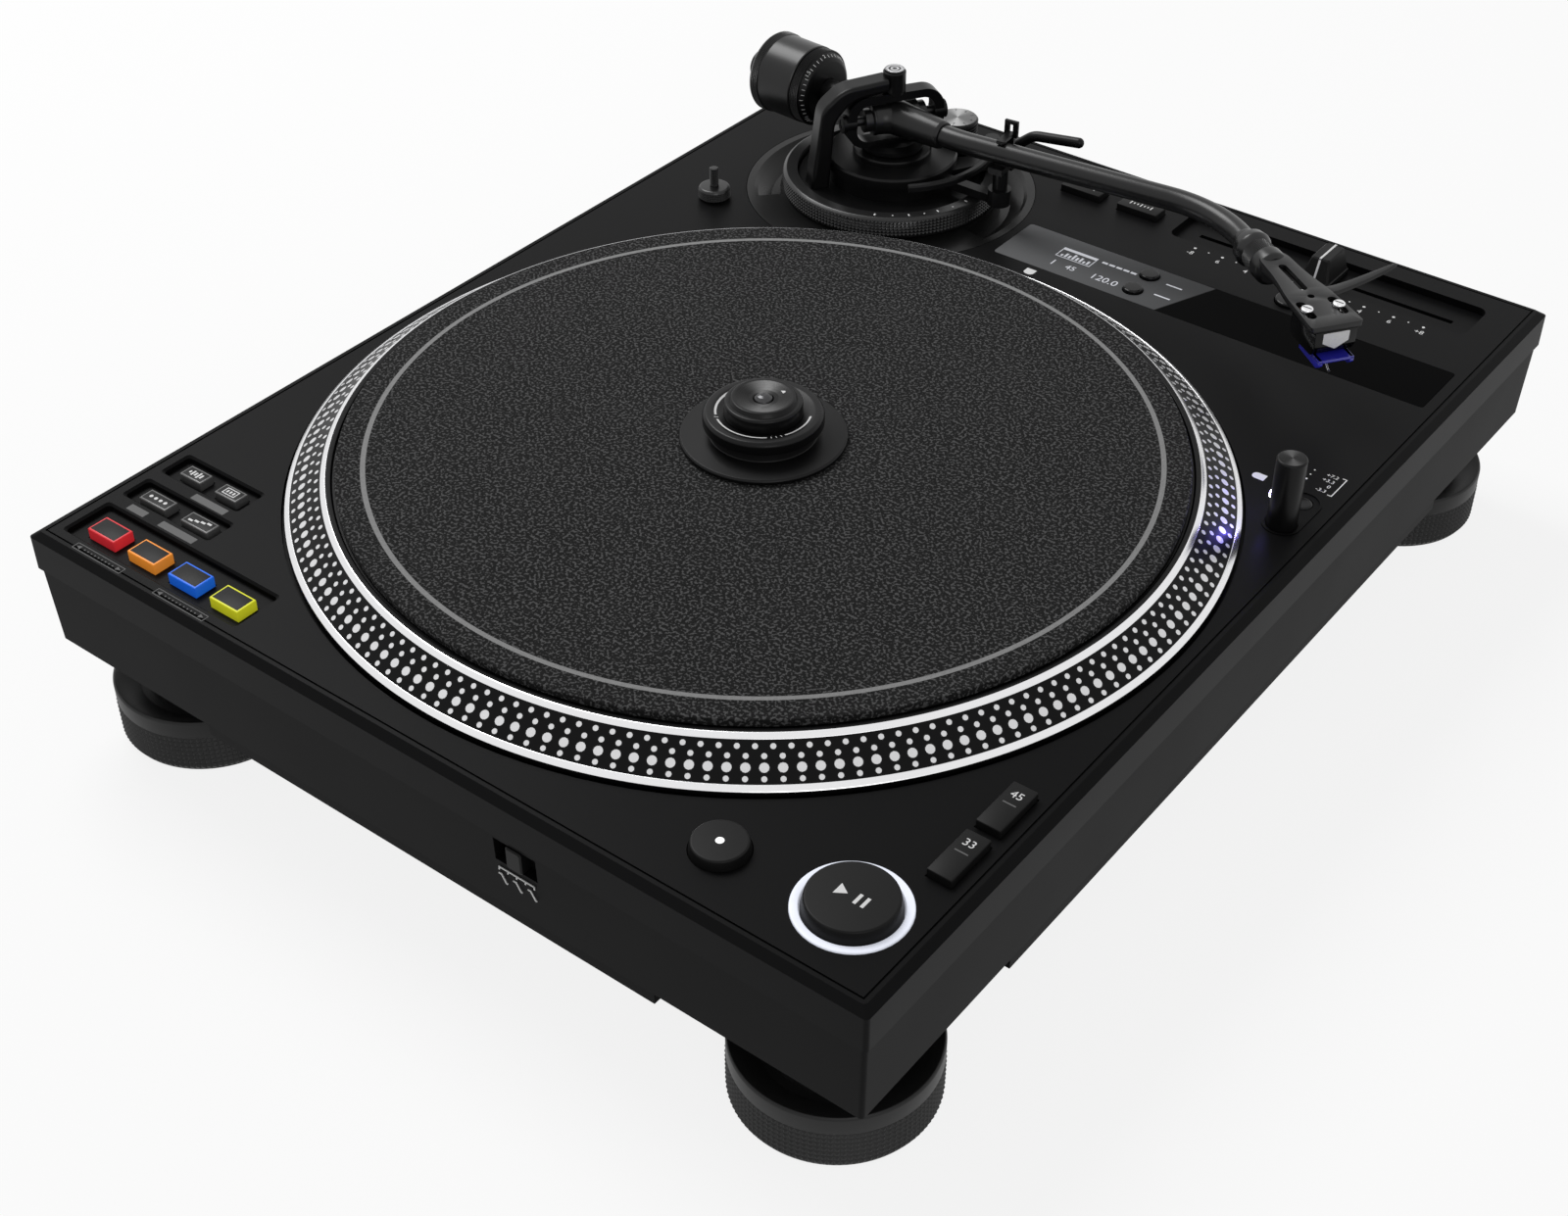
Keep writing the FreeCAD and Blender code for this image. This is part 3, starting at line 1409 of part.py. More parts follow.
def gimbal_ring():
    """The ring that swings about the upright pivot and carries the cross bearings of the arm."""
    outer = slab(-gimbal_half_width, gimbal_half_width, gimbal_bottom, gimbal_top, -gimbal_depth / 2,
                 gimbal_depth / 2, gimbal_outer_corner)
    inner_half = gimbal_half_width - gimbal_bar
    inner = slab(-inner_half, inner_half, gimbal_bottom + gimbal_floor, gimbal_top - gimbal_roof,
                 -gimbal_depth, gimbal_depth, gimbal_inner_corner)
    ring = upright(outer.cut(inner))
    hub = turned([(0, base_hub_top + piece_gap), (gimbal_hub_radius - 0.5, base_hub_top + piece_gap),
                  (gimbal_hub_radius, base_hub_top + 0.8), (gimbal_hub_radius, gimbal_bottom),
                  (gimbal_hub_radius - 3, gimbal_bottom + 1.2), (0, gimbal_bottom + 1.2)])
    reach = gimbal_half_width + bearing_nut_height
    seats = turned_along([(-reach, 0), (-reach, bearing_nut_radius), (reach, bearing_nut_radius),
                          (reach, 0)], 0, 0, 0, arm_height)
    seats = seats.cut(block(-inner_half, inner_half, -gimbal_depth, gimbal_depth, 0, 2 * arm_height))
    boss = disc(gimbal_boss_radius, gimbal_top - 1, arch_boss_bottom - lip_gap)
    ring = join([ring, hub, seats, boss])
    pin_gap = bearing_pin_radius + running_gap
    bearing_bore = turned_along([(-reach - 1, 0), (-reach - 1, pin_gap), (reach + 1, pin_gap),
                                 (reach + 1, 0)], 0, 0, 0, arm_height)
    upper_bore = disc(pivot_pin_radius + running_gap, gimbal_top - gimbal_roof - 1, arch_boss_top)
    lower_bore = disc(lower_pin_radius + running_gap, 0, base_hub_top + lower_pin_length + piece_gap)
    return on_pivot(carve(ring, [bearing_bore, upper_bore, lower_bore]), gimbal_azimuth)


def arm_root():
    """The elbow at the pivot: cross stubs with pins, the front cone and the rear shaft."""
    pin_reach = gimbal_half_width + bearing_nut_height - piece_gap
    cross = turned_along([
        (-pin_reach, 0), (-pin_reach, bearing_pin_radius), (-root_stub_length, bearing_pin_radius),
        (-root_stub_length, root_stub_radius), (-root_stub_length + 3, root_stub_radius),
        (-root_stub_length + 3.6, root_cross_radius), (root_stub_length - 3.6, root_cross_radius),
        (root_stub_length - 3, root_stub_radius), (root_stub_length, root_stub_radius),
        (root_stub_length, bearing_pin_radius), (pin_reach, bearing_pin_radius), (pin_reach, 0)],
        gimbal_azimuth, 0, 0, arm_height)
    front = turned_along([
        (0, 0), (0, root_hub_radius), (root_length - 1, root_end_radius + 0.4),
        (root_length, root_end_radius), (root_length, 0)], root_azimuth, 0, 0, arm_height)
    knuckle = Part.makeSphere(root_hub_radius, Vector(0, 0, arm_height))
    shaft = turned_along([
        (0, 0), (0, rear_shaft_radius), (rear_shaft_length - 0.5, rear_shaft_radius),
        (rear_shaft_length, rear_shaft_radius - 0.5), (rear_shaft_length, 0)],
        root_azimuth + 180, 0, 0, arm_height)
    return on_pivot(join([cross, front, knuckle, shaft]))


def arm_tube():
    """The S-shaped tube, swept along its two bends, with the socket of the head coupling."""
    start = polar(root_length + seat_gap, root_azimuth)
    end = polar(tube_reach, head_azimuth, *second_bend)
    points = [(*start, arm_z), (*first_bend, arm_z), (*second_bend, arm_z), (*end, arm_z)]
    sweep = rod(points, (first_bend_radius, second_bend_radius), tube_radius)
    socket = turned_along([
        (tube_reach - 3, 0), (tube_reach - 3, tube_radius), (tube_reach, socket_radius),
        (socket_end, socket_radius), (socket_end, 0)], head_azimuth, *second_bend, arm_z)
    bore = turned_along([
        (plug_start - piece_gap, 0), (plug_start - piece_gap, plug_radius + running_gap),
        (socket_end + 1, plug_radius + running_gap), (socket_end + 1, 0)],
        head_azimuth, *second_bend, arm_z)
    return join([sweep, socket]).cut(bore)


def counterweight():
    bore = rear_shaft_radius + piece_gap
    return turned_along([
        (weight_front, bore), (weight_front, weight_radius - 0.4), (weight_front + 0.4, weight_radius),
        (weight_back - weight_band_length, weight_radius),
        (weight_back - weight_band_length, weight_band_radius),
        (weight_back - 0.8, weight_band_radius), (weight_back, weight_band_radius - 0.8),
        (weight_back, weight_stub_radius), (weight_back + weight_stub_length - 0.6, weight_stub_radius),
        (weight_back + weight_stub_length, weight_stub_radius - 0.6),
        (weight_back + weight_stub_length, bore)], root_azimuth + 180, pivot_x, pivot_y, arm_z)


def scale_ring():
    bore = rear_shaft_radius + piece_gap
    back = weight_front - piece_gap
    return turned_along([
        (scale_front, bore), (scale_front, scale_radius - 3), (scale_front + 0.8, scale_radius - 1.6),
        (back - scale_band_length, scale_radius), (back - scale_band_length, scale_band_radius),
        (back, scale_band_radius), (back, bore)], root_azimuth + 180, pivot_x, pivot_y, arm_z)


def locking_ring():
    bore = socket_radius + piece_gap
    back = lock_front - lock_band_length - lock_flare_length
    return turned_along([
        (back, bore), (back, lock_flare_radius - 1.6), (back + 0.8, lock_flare_radius - 0.6),
        (back + lock_flare_length - 2.5, lock_flare_radius),
        (back + lock_flare_length, lock_band_radius), (lock_front, lock_band_radius), (lock_front, bore)],
        head_azimuth, *second_bend, arm_z)


# Headshell and cartridge, drawn along +X from the second bend


def headshell():
    """The flat head with its slots, side rails, neck, plug and raised finger lift."""
    half = [(shell_rear, shell_waist - 1.6), (shell_rear + 3, shell_waist - 0.6),
            (shell_waist_at, shell_waist), (shell_shoulder_at, shell_shoulder),
            (shell_front, shell_front_half)]
    points = half + [(along, -across) for along, across in reversed(half)]
    bottom = shell_top - shell_plate
    plate = face_of([(along, across, bottom) for along, across in points]).extrude(Vector(0, 0, shell_plate))
    neck = turned_along([
        (neck_start, 0), (neck_start, neck_radius - 0.4), (neck_start + 0.4, neck_radius),
        (neck_end - 1.5, neck_radius), (neck_end, neck_radius - 1.5), (neck_end, 0)], 0, 0, 0, arm_height)
    side = -shell_fin / 2
    fin = face_of([(neck_end - 1, side, bottom + 0.5), (neck_end - 1, side, bottom - 7),
                   (neck_end + 2, side, bottom - 5), (shell_waist_at, side, bottom + 0.5)])
    fin = fin.extrude(Vector(0, shell_fin, 0))
    plug = turned_along([(plug_start, 0), (plug_start, plug_radius), (neck_start + 1, plug_radius),
                         (neck_start + 1, 0)], 0, 0, 0, arm_height)
    cuts = [stadium((shell_slot[0] + shell_slot_width / 2, 0), (shell_slot[1] - shell_slot_width / 2, 0),
                    shell_slot_width / 2, 0, shell_top + 1),
            disc(shell_hole_radius, bottom - 1, shell_top + 1, shell_hole_at, 0)]
    for side in (-1, 1):
        across = side * cart_screw_spacing / 2
        cuts.append(stadium((cart_slot[0] + cart_slot_width / 2, across),
                            (cart_slot[1] - cart_slot_width / 2, across), cart_slot_width / 2,
                            bottom - 1, shell_top + 1))
    body = join([plate, neck, fin])
    return on_head(join([carve(body, cuts), plug, finger_lift()]))


def finger_lift():
    """A bent strip that leaves the side of the head and rises to its tip."""
    low = shell_top - shell_plate + 0.2
    line = [(shell_shoulder - 3, low), (shell_shoulder + 5, low),
            (shell_shoulder + lift_reach - 6, low + lift_rise - 1),
            (shell_shoulder + lift_reach, low + lift_rise)]
    points = line + [(across, height + lift_thickness) for across, height in reversed(line)]
    strip = face_of([(lift_at - lift_width / 2, across, height) for across, height in points])
    return strip.extrude(Vector(lift_width, 0, 0))


def cartridge():
    """The body under the head with its two screws and four rear pins."""
    top = shell_top - shell_plate - seat_gap
    bottom = top - cart_height
    face = face_of([(cart_back, -cart_half_width, top), (cart_front, -cart_half_width, top),
                    (cart_front, -cart_half_width, bottom + cart_nose),
                    (cart_front - 2, -cart_half_width, bottom), (cart_back + 2, -cart_half_width, bottom),
                    (cart_back, -cart_half_width, bottom + 2)])
    body = face.extrude(Vector(0, 2 * cart_half_width, 0))
    parts = [body]
    for side in (-1, 1):
        across = side * cart_screw_spacing / 2
        parts.append(disc(cart_screw_radius, top - 1, shell_top + 1, cart_screw_at, across))
        parts.append(disc(cart_head_radius, shell_top + seat_gap, shell_top + cart_head_height,
                          cart_screw_at, across))
        for height in (bottom + 3, bottom + 6.5):
            parts.append(Part.makeCylinder(cart_pin_radius, 6, Vector(cart_back - 5, side * 3, height),
                                           Vector(1, 0, 0)))
    return on_head(join(parts))


def stylus_unit():
    """The exchangeable needle holder with its guard, cantilever and tip."""
    top = shell_top - shell_plate - seat_gap - cart_height - seat_gap
    bottom = top - stylus_height
    face = face_of([(stylus_back, -stylus_half_width, top), (stylus_front, -stylus_half_width, top),
                    (stylus_front, -stylus_half_width, bottom + 1.5),
                    (stylus_front - 2, -stylus_half_width, bottom),
                    (stylus_back, -stylus_half_width, bottom + 1)])
    body = face.extrude(Vector(0, 2 * stylus_half_width, 0))
    room = block(stylus_back + 5, stylus_front + 1, -stylus_half_width + 1.6, stylus_half_width - 1.6,
                 bottom - 1, top - 1.2)
    tip = Vector(stylus_tip_at, 0, stylus_tip_height)
    root = Vector(stylus_back + 4, 0, bottom + 1.6)
    cantilever = Part.makeCylinder(cantilever_radius, (tip - root).Length, root, tip - root)
    needle = Part.makeCone(0.15, cantilever_radius, 1.4, tip - Vector(0, 0, 1.2))
    return on_head(join([body.cut(room), cantilever, needle]))


# Rest clip, dial, lever and lifter


def arm_rest_clip():
    """The clip over the tube: eye, upright tab with a slot and a strap across the top."""
    pivot = (clip_pivot_out, arm_height - clip_pivot_down)
    half = clip_width / 2

    def along(radius, length, centre):
        return Part.makeCylinder(radius, length, Vector(-length / 2, *centre), Vector(1, 0, 0))

    eye = along(clip_eye_radius, clip_width, pivot)
    wall = block(-half, half, pivot[0] - clip_thickness / 2, pivot[0] + clip_thickness / 2,
                 pivot[1], arm_height + clip_radius + 1)
    tab = block(-clip_tab_width / 2, clip_tab_width / 2, pivot[0] - clip_thickness / 2,
                pivot[0] + clip_thickness / 2, arm_height + clip_radius - 1, clip_tab_top)
    slot = block(-rest_slot_width / 2, rest_slot_width / 2, pivot[0] - 2, pivot[0] + 2,
                 clip_tab_top - 1.5 - rest_slot_height, clip_tab_top - 1.5)
    outer = clip_radius + clip_thickness
    strap = block(-half, half, -clip_strap_end, pivot[0], arm_height + clip_radius, arm_height + outer)
    body = join([eye, wall, tab.cut(slot), strap]).cut(
        along(clip_pin_radius + running_gap, clip_width + 2, pivot))
    return on_pivot(placed(body, straight_azimuth, rest_reach, rest_offset))


def anti_skate_dial():
    return on_pivot(turned([
        (0, dial_bottom), (dial_radius - 0.5, dial_bottom), (dial_radius, dial_bottom + 0.5),
        (dial_radius, dial_top - 1.0), (dial_radius - 1.0, dial_top), (0, dial_top)], dial_x, dial_y))


def cue_lever():
    """A bent round lever on its cross pin, thinner at the grip."""
    bar = rod([lever_root, lever_bend, lever_tip], (lever_bend_radius,), lever_radius)
    end = Part.makeSphere(lever_radius, Vector(*lever_tip))
    azimuth = math.radians(90) + math.atan2(lever_tip[1] - lever_root[1], lever_tip[0] - lever_root[0])
    side = Vector(math.cos(azimuth), math.sin(azimuth), 0)
    root = Vector(*lever_root)
    eye = Part.makeCylinder(lever_eye_radius, 2 * lever_radius, root - side * lever_radius, side)
    hole = Part.makeCylinder(lever_pin_radius + running_gap, 4 * lever_radius,
                             root - side * 2 * lever_radius, side)
    return on_pivot(join([bar, end, eye]).cut(hole))


def arm_lifter():
    """The curved bar under the tube on its sliding post."""
    top = lifter_bar_bottom + lifter_bar_height
    inner = lifter_radius - lifter_width / 2
    outer = lifter_radius + lifter_width / 2
    bar = turned([(inner, lifter_bar_bottom), (outer, lifter_bar_bottom), (outer, top - 0.6),
                  (outer - 0.6, top), (inner + 0.6, top), (inner, top - 0.6)], 0, 0,
                 lifter_azimuth - lifter_end_azimuth, lifter_end_azimuth)
    place = polar(lifter_radius, lifter_azimuth, 0, 0)
    head = disc(lifter_post_radius + 0.8, lifter_bar_bottom, top, *place)
    post = disc(lifter_post_radius, wing_bottom + 1 + piece_gap, lifter_bar_bottom + 1, *place)
    return on_pivot(join([bar, head, post]))


def main():
    for build in (top_case, base_case, bottom_cover, display_window, motor_stator, spindle_bearing,
                  tonearm_well, start_light_ring, fader_track, rear_sockets, platter, slipmat, spindle,
                  rotor_magnet, clamp_body, clamp_dial, target_lamp, fader_cap, brake_slider, height_ring,
                  tonearm_base, bearing_arch, gimbal_ring, arm_root, arm_tube, counterweight, scale_ring,
                  locking_ring, headshell, cartridge, stylus_unit, arm_rest_clip, anti_skate_dial,
                  cue_lever, arm_lifter, power_switch, auxiliary_weight, circuit_boards):
        write(build(), build.__name__)
    for name, x, y, width, depth, rise in rectangular_keys():
        write(rectangular_key(x, y, width, depth, rise), name)
    for name, x, y, radius, top_radius, rise in round_keys():
        write(round_key(x, y, radius, top_radius, rise, deck_under - lip_gap), name)
    ring_under = deck_under - seat_gap - start_ring_edge
    write(round_key(start_x, start_y, start_button_radius, start_button_top, start_button_rise,
                    ring_under - lip_gap), "start_button")
    for number, (x, y) in enumerate(foot_places):
        write(foot(x, y), "foot_%d" % (number + 1))


main()
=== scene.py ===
"""Dresses the record player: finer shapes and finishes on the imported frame, a plain studio and the camera."""

import logging
import math
from dataclasses import dataclass
from enum import Enum
from typing import Any, Callable, Sequence

import bmesh
import bpy
from mathutils import Matrix, Vector

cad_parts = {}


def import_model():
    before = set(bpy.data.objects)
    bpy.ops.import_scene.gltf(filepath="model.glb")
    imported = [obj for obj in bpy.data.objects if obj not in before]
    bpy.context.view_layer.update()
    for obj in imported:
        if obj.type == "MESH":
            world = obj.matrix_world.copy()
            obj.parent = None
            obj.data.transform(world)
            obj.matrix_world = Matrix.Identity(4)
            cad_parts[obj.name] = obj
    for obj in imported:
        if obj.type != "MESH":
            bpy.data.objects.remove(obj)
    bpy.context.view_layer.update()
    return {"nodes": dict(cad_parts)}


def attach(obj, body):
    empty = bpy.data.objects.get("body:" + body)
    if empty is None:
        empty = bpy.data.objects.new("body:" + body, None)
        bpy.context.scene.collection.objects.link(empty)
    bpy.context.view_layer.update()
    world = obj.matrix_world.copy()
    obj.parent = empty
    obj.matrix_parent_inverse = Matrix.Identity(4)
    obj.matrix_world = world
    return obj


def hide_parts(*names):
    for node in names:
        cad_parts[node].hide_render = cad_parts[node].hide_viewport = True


MM = 0.001
Colour = tuple[float, float, float]
Point = tuple[float, float, float]
Spot = tuple[float, float]
Outline = Sequence[tuple[float, ...]]
LOG = logging.getLogger("record_player")

DECK_TOP = 87.0
SPINDLE_Y = -45.0
PIVOT_X = -85.5
PIVOT_Y = 152.5
PRINT_SINK = 0.02
PRINT_RISE = 0.03


# Shader expressions


class Signal:
    """A shader socket in an expression: arithmetic on it adds Math nodes."""

    def __init__(self, recipe: "Recipe", socket: bpy.types.NodeSocket) -> None:
        """Keep the recipe that the socket belongs to."""
        self.recipe = recipe
        self.socket = socket

    def math(self, operation: str, *values: "Signal | float") -> "Signal":
        """Add one Math node.

        Args:
            operation: the node's operation.
            values: what its inputs get, in order.

        Returns:
            The node's result.
        """
        return self.recipe.first("Math", {"operation": operation}, dict(enumerate(values)))

    def __add__(self, other: "Signal | float") -> "Signal":
        """Return self + other."""
        return self.math("ADD", self, other)

    def __radd__(self, other: float) -> "Signal":
        """Return other + self."""
        return self.math("ADD", other, self)

    def __sub__(self, other: "Signal | float") -> "Signal":
        """Return self - other."""
        return self.math("SUBTRACT", self, other)

    def __rsub__(self, other: float) -> "Signal":
        """Return other - self."""
        return self.math("SUBTRACT", other, self)

    def __mul__(self, other: "Signal | float") -> "Signal":
        """Return self * other."""
        return self.math("MULTIPLY", self, other)

    def __rmul__(self, other: float) -> "Signal":
        """Return other * self."""
        return self.math("MULTIPLY", other, self)

    def __pow__(self, other: float) -> "Signal":
        """Return self raised to other."""
        return self.math("POWER", self, other)

    def __abs__(self) -> "Signal":
        """Return the size of self without its sign."""
        return self.math("ABSOLUTE", self)

    def rise(self, low: float, high: float) -> "Signal":
        """Return 0 below low, 1 above high and a smooth step between them."""
        node = self.recipe.node("MapRange", {"interpolation_type": "SMOOTHSTEP"},
                                {"Value": self, "From Min": low, "From Max": high})
        return Signal(self.recipe, node.outputs["Result"])


class Recipe:
    """One procedural material, built round a Principled BSDF."""

    def __init__(self, name: str) -> None:
        """Start an empty material of this name."""
        self.material = bpy.data.materials.new(name)
        self.material.use_nodes = True
        self.tree = self.material.node_tree
        self.tree.nodes.clear()

    def node(self, kind: str, settings: dict[str, Any], inputs: dict[Any, Any]) -> bpy.types.Node:
        """Add a shader node.

        Args:
            kind: the node's type without its ShaderNode prefix.
            settings: the node's own settings, made before its sockets are filled.
            inputs: a value or a signal for each socket.

        Returns:
            The new node.
        """
        node = self.tree.nodes.new("ShaderNode" + kind)
        for key, value in settings.items():
            setattr(node, key, value)
        for key, value in inputs.items():
            socket = node.inputs[key]
            if isinstance(value, Signal):
                self.tree.links.new(value.socket, socket)
            elif socket.type == "RGBA" and len(value) == 3:
                socket.default_value = (*value, 1.0)
            else:
                socket.default_value = value
        return node

    def first(self, kind: str, settings: dict[str, Any], inputs: dict[Any, Any]) -> Signal:
        """Add a shader node and return its first output."""
        return Signal(self, self.node(kind, settings, inputs).outputs[0])

    def place(self, centre: Point = (0.0, 0.0, 0.0)) -> Signal:
        """Return object coordinates in metres, seen from a centre in millimetres."""
        source = Signal(self, self.node("TexCoord", {}, {}).outputs["Object"])
        return self.first("Mapping", {"vector_type": "TEXTURE"},
                          {"Vector": source, "Location": tuple(c * MM for c in centre)})

    def parts(self, place: Signal) -> tuple[Signal, Signal, Signal]:
        """Return the three coordinates of a place, in millimetres."""
        node = self.node("SeparateXYZ", {}, {0: place})
        return tuple(Signal(self, output) * (1 / MM) for output in node.outputs)

    def noise(self, place: Signal, size: float, detail: float = 2.0) -> Signal:
        """Return soft noise from 0 to 1 whose blotches are about size millimetres wide."""
        return self.first("TexNoise", {}, {"Vector": place, "Scale": 0.5 / (size * MM), "Detail": detail})

    def lines(self, value: Signal, size: float) -> Signal:
        """Return noise along one value in millimetres, as the fine lines of a turned face."""
        return self.first("TexNoise", {"noise_dimensions": "1D"},
                          {"W": value, "Scale": 1 / size, "Detail": 2.0})

    def scaled(self, colour: Colour, amount: Signal) -> Signal:
        """Return a colour made lighter or darker by a signal."""
        return self.first("VectorMath", {"operation": "SCALE"}, {0: colour, "Scale": amount})

    def mixed(self, amount: Signal, low: "Colour | Signal", high: "Colour | Signal") -> Signal:
        """Return a colour between low, at 0, and high, at 1."""
        node = self.node("Mix", {"data_type": "RGBA"}, {0: amount, 6: low, 7: high})
        return Signal(self, node.outputs[2])

    def bump(self, height: Signal, depth: float) -> Signal:
        """Return a normal for a relief that is depth millimetres deep."""
        return self.first("Bump", {}, {"Height": height, "Strength": 1.0, "Distance": depth * MM})

    def surface(self, **sockets: Any) -> bpy.types.Material:
        """Close the material with a Principled BSDF whose sockets are named with _ for a space."""
        values = {key.replace("_", " "): value for key, value in sockets.items()}
        self.node("OutputMaterial", {}, {0: self.first("BsdfPrincipled", {}, values)})
        return self.material


# Finishes


COAT_ROUGHNESS = 0.12
BLOTCH = 22.0


@dataclass(frozen=True)
class Finish:
    """A painted, moulded or polished surface with a fine grain and a faint unevenness."""

    name: str
    colour: Colour
    roughness: float = 0.45
    metallic: float = 0.0
    specular: float = 0.4
    grain: float = 0.3
    relief: float = 0.006
    mottle: float = 0.08
    smudge: float = 0.06
    coat: float = 0.0

    def material(self) -> bpy.types.Material:
        """Return the material, made once."""
        name = "finish_" + self.name
        return bpy.data.materials.get(name) or self.made(Recipe(name))

    def made(self, recipe: Recipe) -> bpy.types.Material:
        """Build the material: grain as relief and tone, slow blotches in tone and gloss."""
        place = recipe.place()
        grain = recipe.noise(place, self.grain)
        blotch = recipe.noise(place, BLOTCH, 3.0)
        tone = 1 + (grain - 0.5) * (2 * self.mottle) + (blotch - 0.5) * self.mottle
        gloss = self.roughness + (blotch - 0.5) * self.smudge
        return recipe.surface(Base_Color=recipe.scaled(self.colour, tone), Roughness=gloss,
                              Metallic=self.metallic, Specular_IOR_Level=self.specular,
                              Coat_Weight=self.coat, Coat_Roughness=COAT_ROUGHNESS,
                              Normal=recipe.bump(grain, self.relief))


@dataclass(frozen=True)
class Turned(Finish):
    """Metal turned on a lathe: fine rings, and a painted sheen of two bright wedges in its colour."""

    centre: Point = (0.0, 0.0, 0.0)
    # painted sheen: the direction of the two bright wedges in degrees, and how far they lighten and darken the
    # colour
    wedge: float = 0.0
    contrast: float = 0.0
    pitch: float = 0.12

    def made(self, recipe: Recipe) -> bpy.types.Material:
        """Build the material from the distance and direction from the centre."""
        across, up, _ = recipe.parts(recipe.place(self.centre))
        radius = (across * across + up * up) ** 0.5
        rings = recipe.lines(radius, self.pitch)
        # painted sheen: the colour is lighter in two opposite wedges round the centre and darker between them
        angle = up.math("ARCTAN2", up, across) - math.radians(self.wedge)
        wedge = (angle.math("COSINE", angle * 2) * 0.5 + 0.5) ** 3.0
        tone = 1 - self.contrast + wedge * (2 * self.contrast) + (rings - 0.5) * (3 * self.mottle)
        gloss = self.roughness + (rings - 0.5) * self.smudge
        return recipe.surface(Base_Color=recipe.scaled(self.colour, tone), Roughness=gloss,
                              Metallic=self.metallic, Specular_IOR_Level=self.specular,
                              Normal=recipe.bump(rings, self.relief))


@dataclass(frozen=True)
class Felt(Finish):
    """The mat's felt: dark fibre with pale flecks and one printed ring."""

    ring_radius: float = 138.6
    ring_width: float = 1.8
    ring_colour: Colour = (0.27, 0.27, 0.27)
    centre: Point = (0.0, SPINDLE_Y, 0.0)

    def made(self, recipe: Recipe) -> bpy.types.Material:
        """Build the felt from two sizes of noise and the distance from the centre."""
        place = recipe.place(self.centre)
        across, up, _ = recipe.parts(place)
        radius = (across * across + up * up) ** 0.5
        fibre = recipe.noise(place, self.grain, 3.0)
        fleck = recipe.noise(place, self.grain * 0.7, 1.0).rise(0.5, 0.62)
        blotch = recipe.noise(place, 16.0, 3.0)
        edge = self.ring_width / 2
        ring = 1 - abs(radius - self.ring_radius).rise(edge - 0.1, edge + 0.1)
        tone = 0.3 + fibre * 0.8 + fleck * 6.0 + (blotch - 0.5) * 0.4
        cloth = recipe.scaled(self.colour, tone)
        worn = recipe.mixed(ring * (0.8 + fibre * 0.3), cloth, self.ring_colour)
        return recipe.surface(Base_Color=worn, Roughness=self.roughness, Specular_IOR_Level=self.specular,
                              Normal=recipe.bump(fibre + fleck * 0.5, self.relief))


@dataclass(frozen=True)
class Smoked(Finish):
    """Smoked acrylic over the display: black, with a paler patch of painted reflection at one end."""

    # lit is the colour of the painted reflection; edge_x, slant and middle_y place its slanting edge, fade_from
    # and fade_to its fade
    lit: Colour = (0.15, 0.152, 0.156)
    edge_x: float = 60.0
    slant: float = 0.4
    middle_y: float = 147.0
    fade_from: float = -60.0
    fade_to: float = 90.0

    def made(self, recipe: Recipe) -> bpy.types.Material:
        """Build the window: the painted reflection ends at a slanting line."""
        place = recipe.place()
        x, y, _ = recipe.parts(place)
        # painted reflection: a pale patch on one side of a slanting line, darker towards +x
        line = x - (y - self.middle_y) * self.slant
        reflection_patch = 1 - line.rise(self.edge_x - 0.4, self.edge_x + 0.4)
        fade = 1 - x.rise(self.fade_from, self.fade_to) * 0.45
        dust = recipe.noise(place, 6.0, 4.0)
        return recipe.surface(
            Base_Color=recipe.mixed(reflection_patch * fade, self.colour, self.lit),
            Roughness=self.roughness + dust * 0.05, Specular_IOR_Level=self.specular,
            Normal=recipe.bump(dust, self.relief))


@dataclass(frozen=True)
class Glow(Finish):
    """A lit surface, a little uneven as light through moulded plastic is."""

    strength: float = 1.0

    def made(self, recipe: Recipe) -> bpy.types.Material:
        """Build the lit surface."""
        haze = recipe.noise(recipe.place(), 3.0)
        light = recipe.scaled(self.colour, 0.9 + haze * 0.2)
        return recipe.surface(Base_Color=light, Roughness=self.roughness, Specular_IOR_Level=self.specular,
                              Emission_Color=light, Emission_Strength=self.strength)


DECK = Finish("deck_paint", (0.004, 0.004, 0.0042), 0.4, specular=0.045, grain=0.16, mottle=0.06)
SIDE = Finish("casing_plastic", (0.004, 0.004, 0.0041), 0.5, specular=0.045, grain=0.2, relief=0.008)
WELL = Finish("well_lacquer", (0.005, 0.005, 0.005), 0.28, specular=0.15, grain=0.2, relief=0.003, coat=0.05)
SATIN = Finish("satin_black", (0.004, 0.004, 0.0042), 0.32, specular=0.16, grain=0.15, relief=0.004)
ARM = Finish("arm_lacquer", (0.007, 0.007, 0.0072), 0.3, specular=0.32, grain=0.12, relief=0.003)
KNURL = Finish("knurled_black", (0.014, 0.014, 0.0143), 0.28, metallic=0.3, specular=0.45, grain=0.2,
               relief=0.004)
RUBBER = Finish("foot_rubber", (0.009, 0.009, 0.009), 0.45, specular=0.25, grain=0.35, relief=0.02)
CAP = Finish("key_plastic", (0.005, 0.005, 0.005), 0.42, specular=0.12, grain=0.12, relief=0.005)
KEY_EDGE = Finish("mode_key_edge", (0.1, 0.1, 0.1), 0.35)
GLOSS = Finish("gloss_black", (0.002, 0.002, 0.0022), 0.14, specular=0.2, grain=2.0, relief=0.002)
RIM = Finish("rim_black", (0.002, 0.002, 0.0022), 0.3, specular=0.1, grain=0.2, relief=0.003)
BRIGHT = Finish("bright_metal", (0.78, 0.78, 0.79), 0.2, metallic=1.0, grain=0.15, relief=0.002, mottle=0.04)
DOTS = Finish("dot_metal", (0.74, 0.74, 0.75), 0.3, metallic=0.55, relief=0.003, mottle=0.06)
STEEL = Finish("polished_steel", (0.55, 0.55, 0.56), 0.25, metallic=1.0, grain=0.4, relief=0.003)
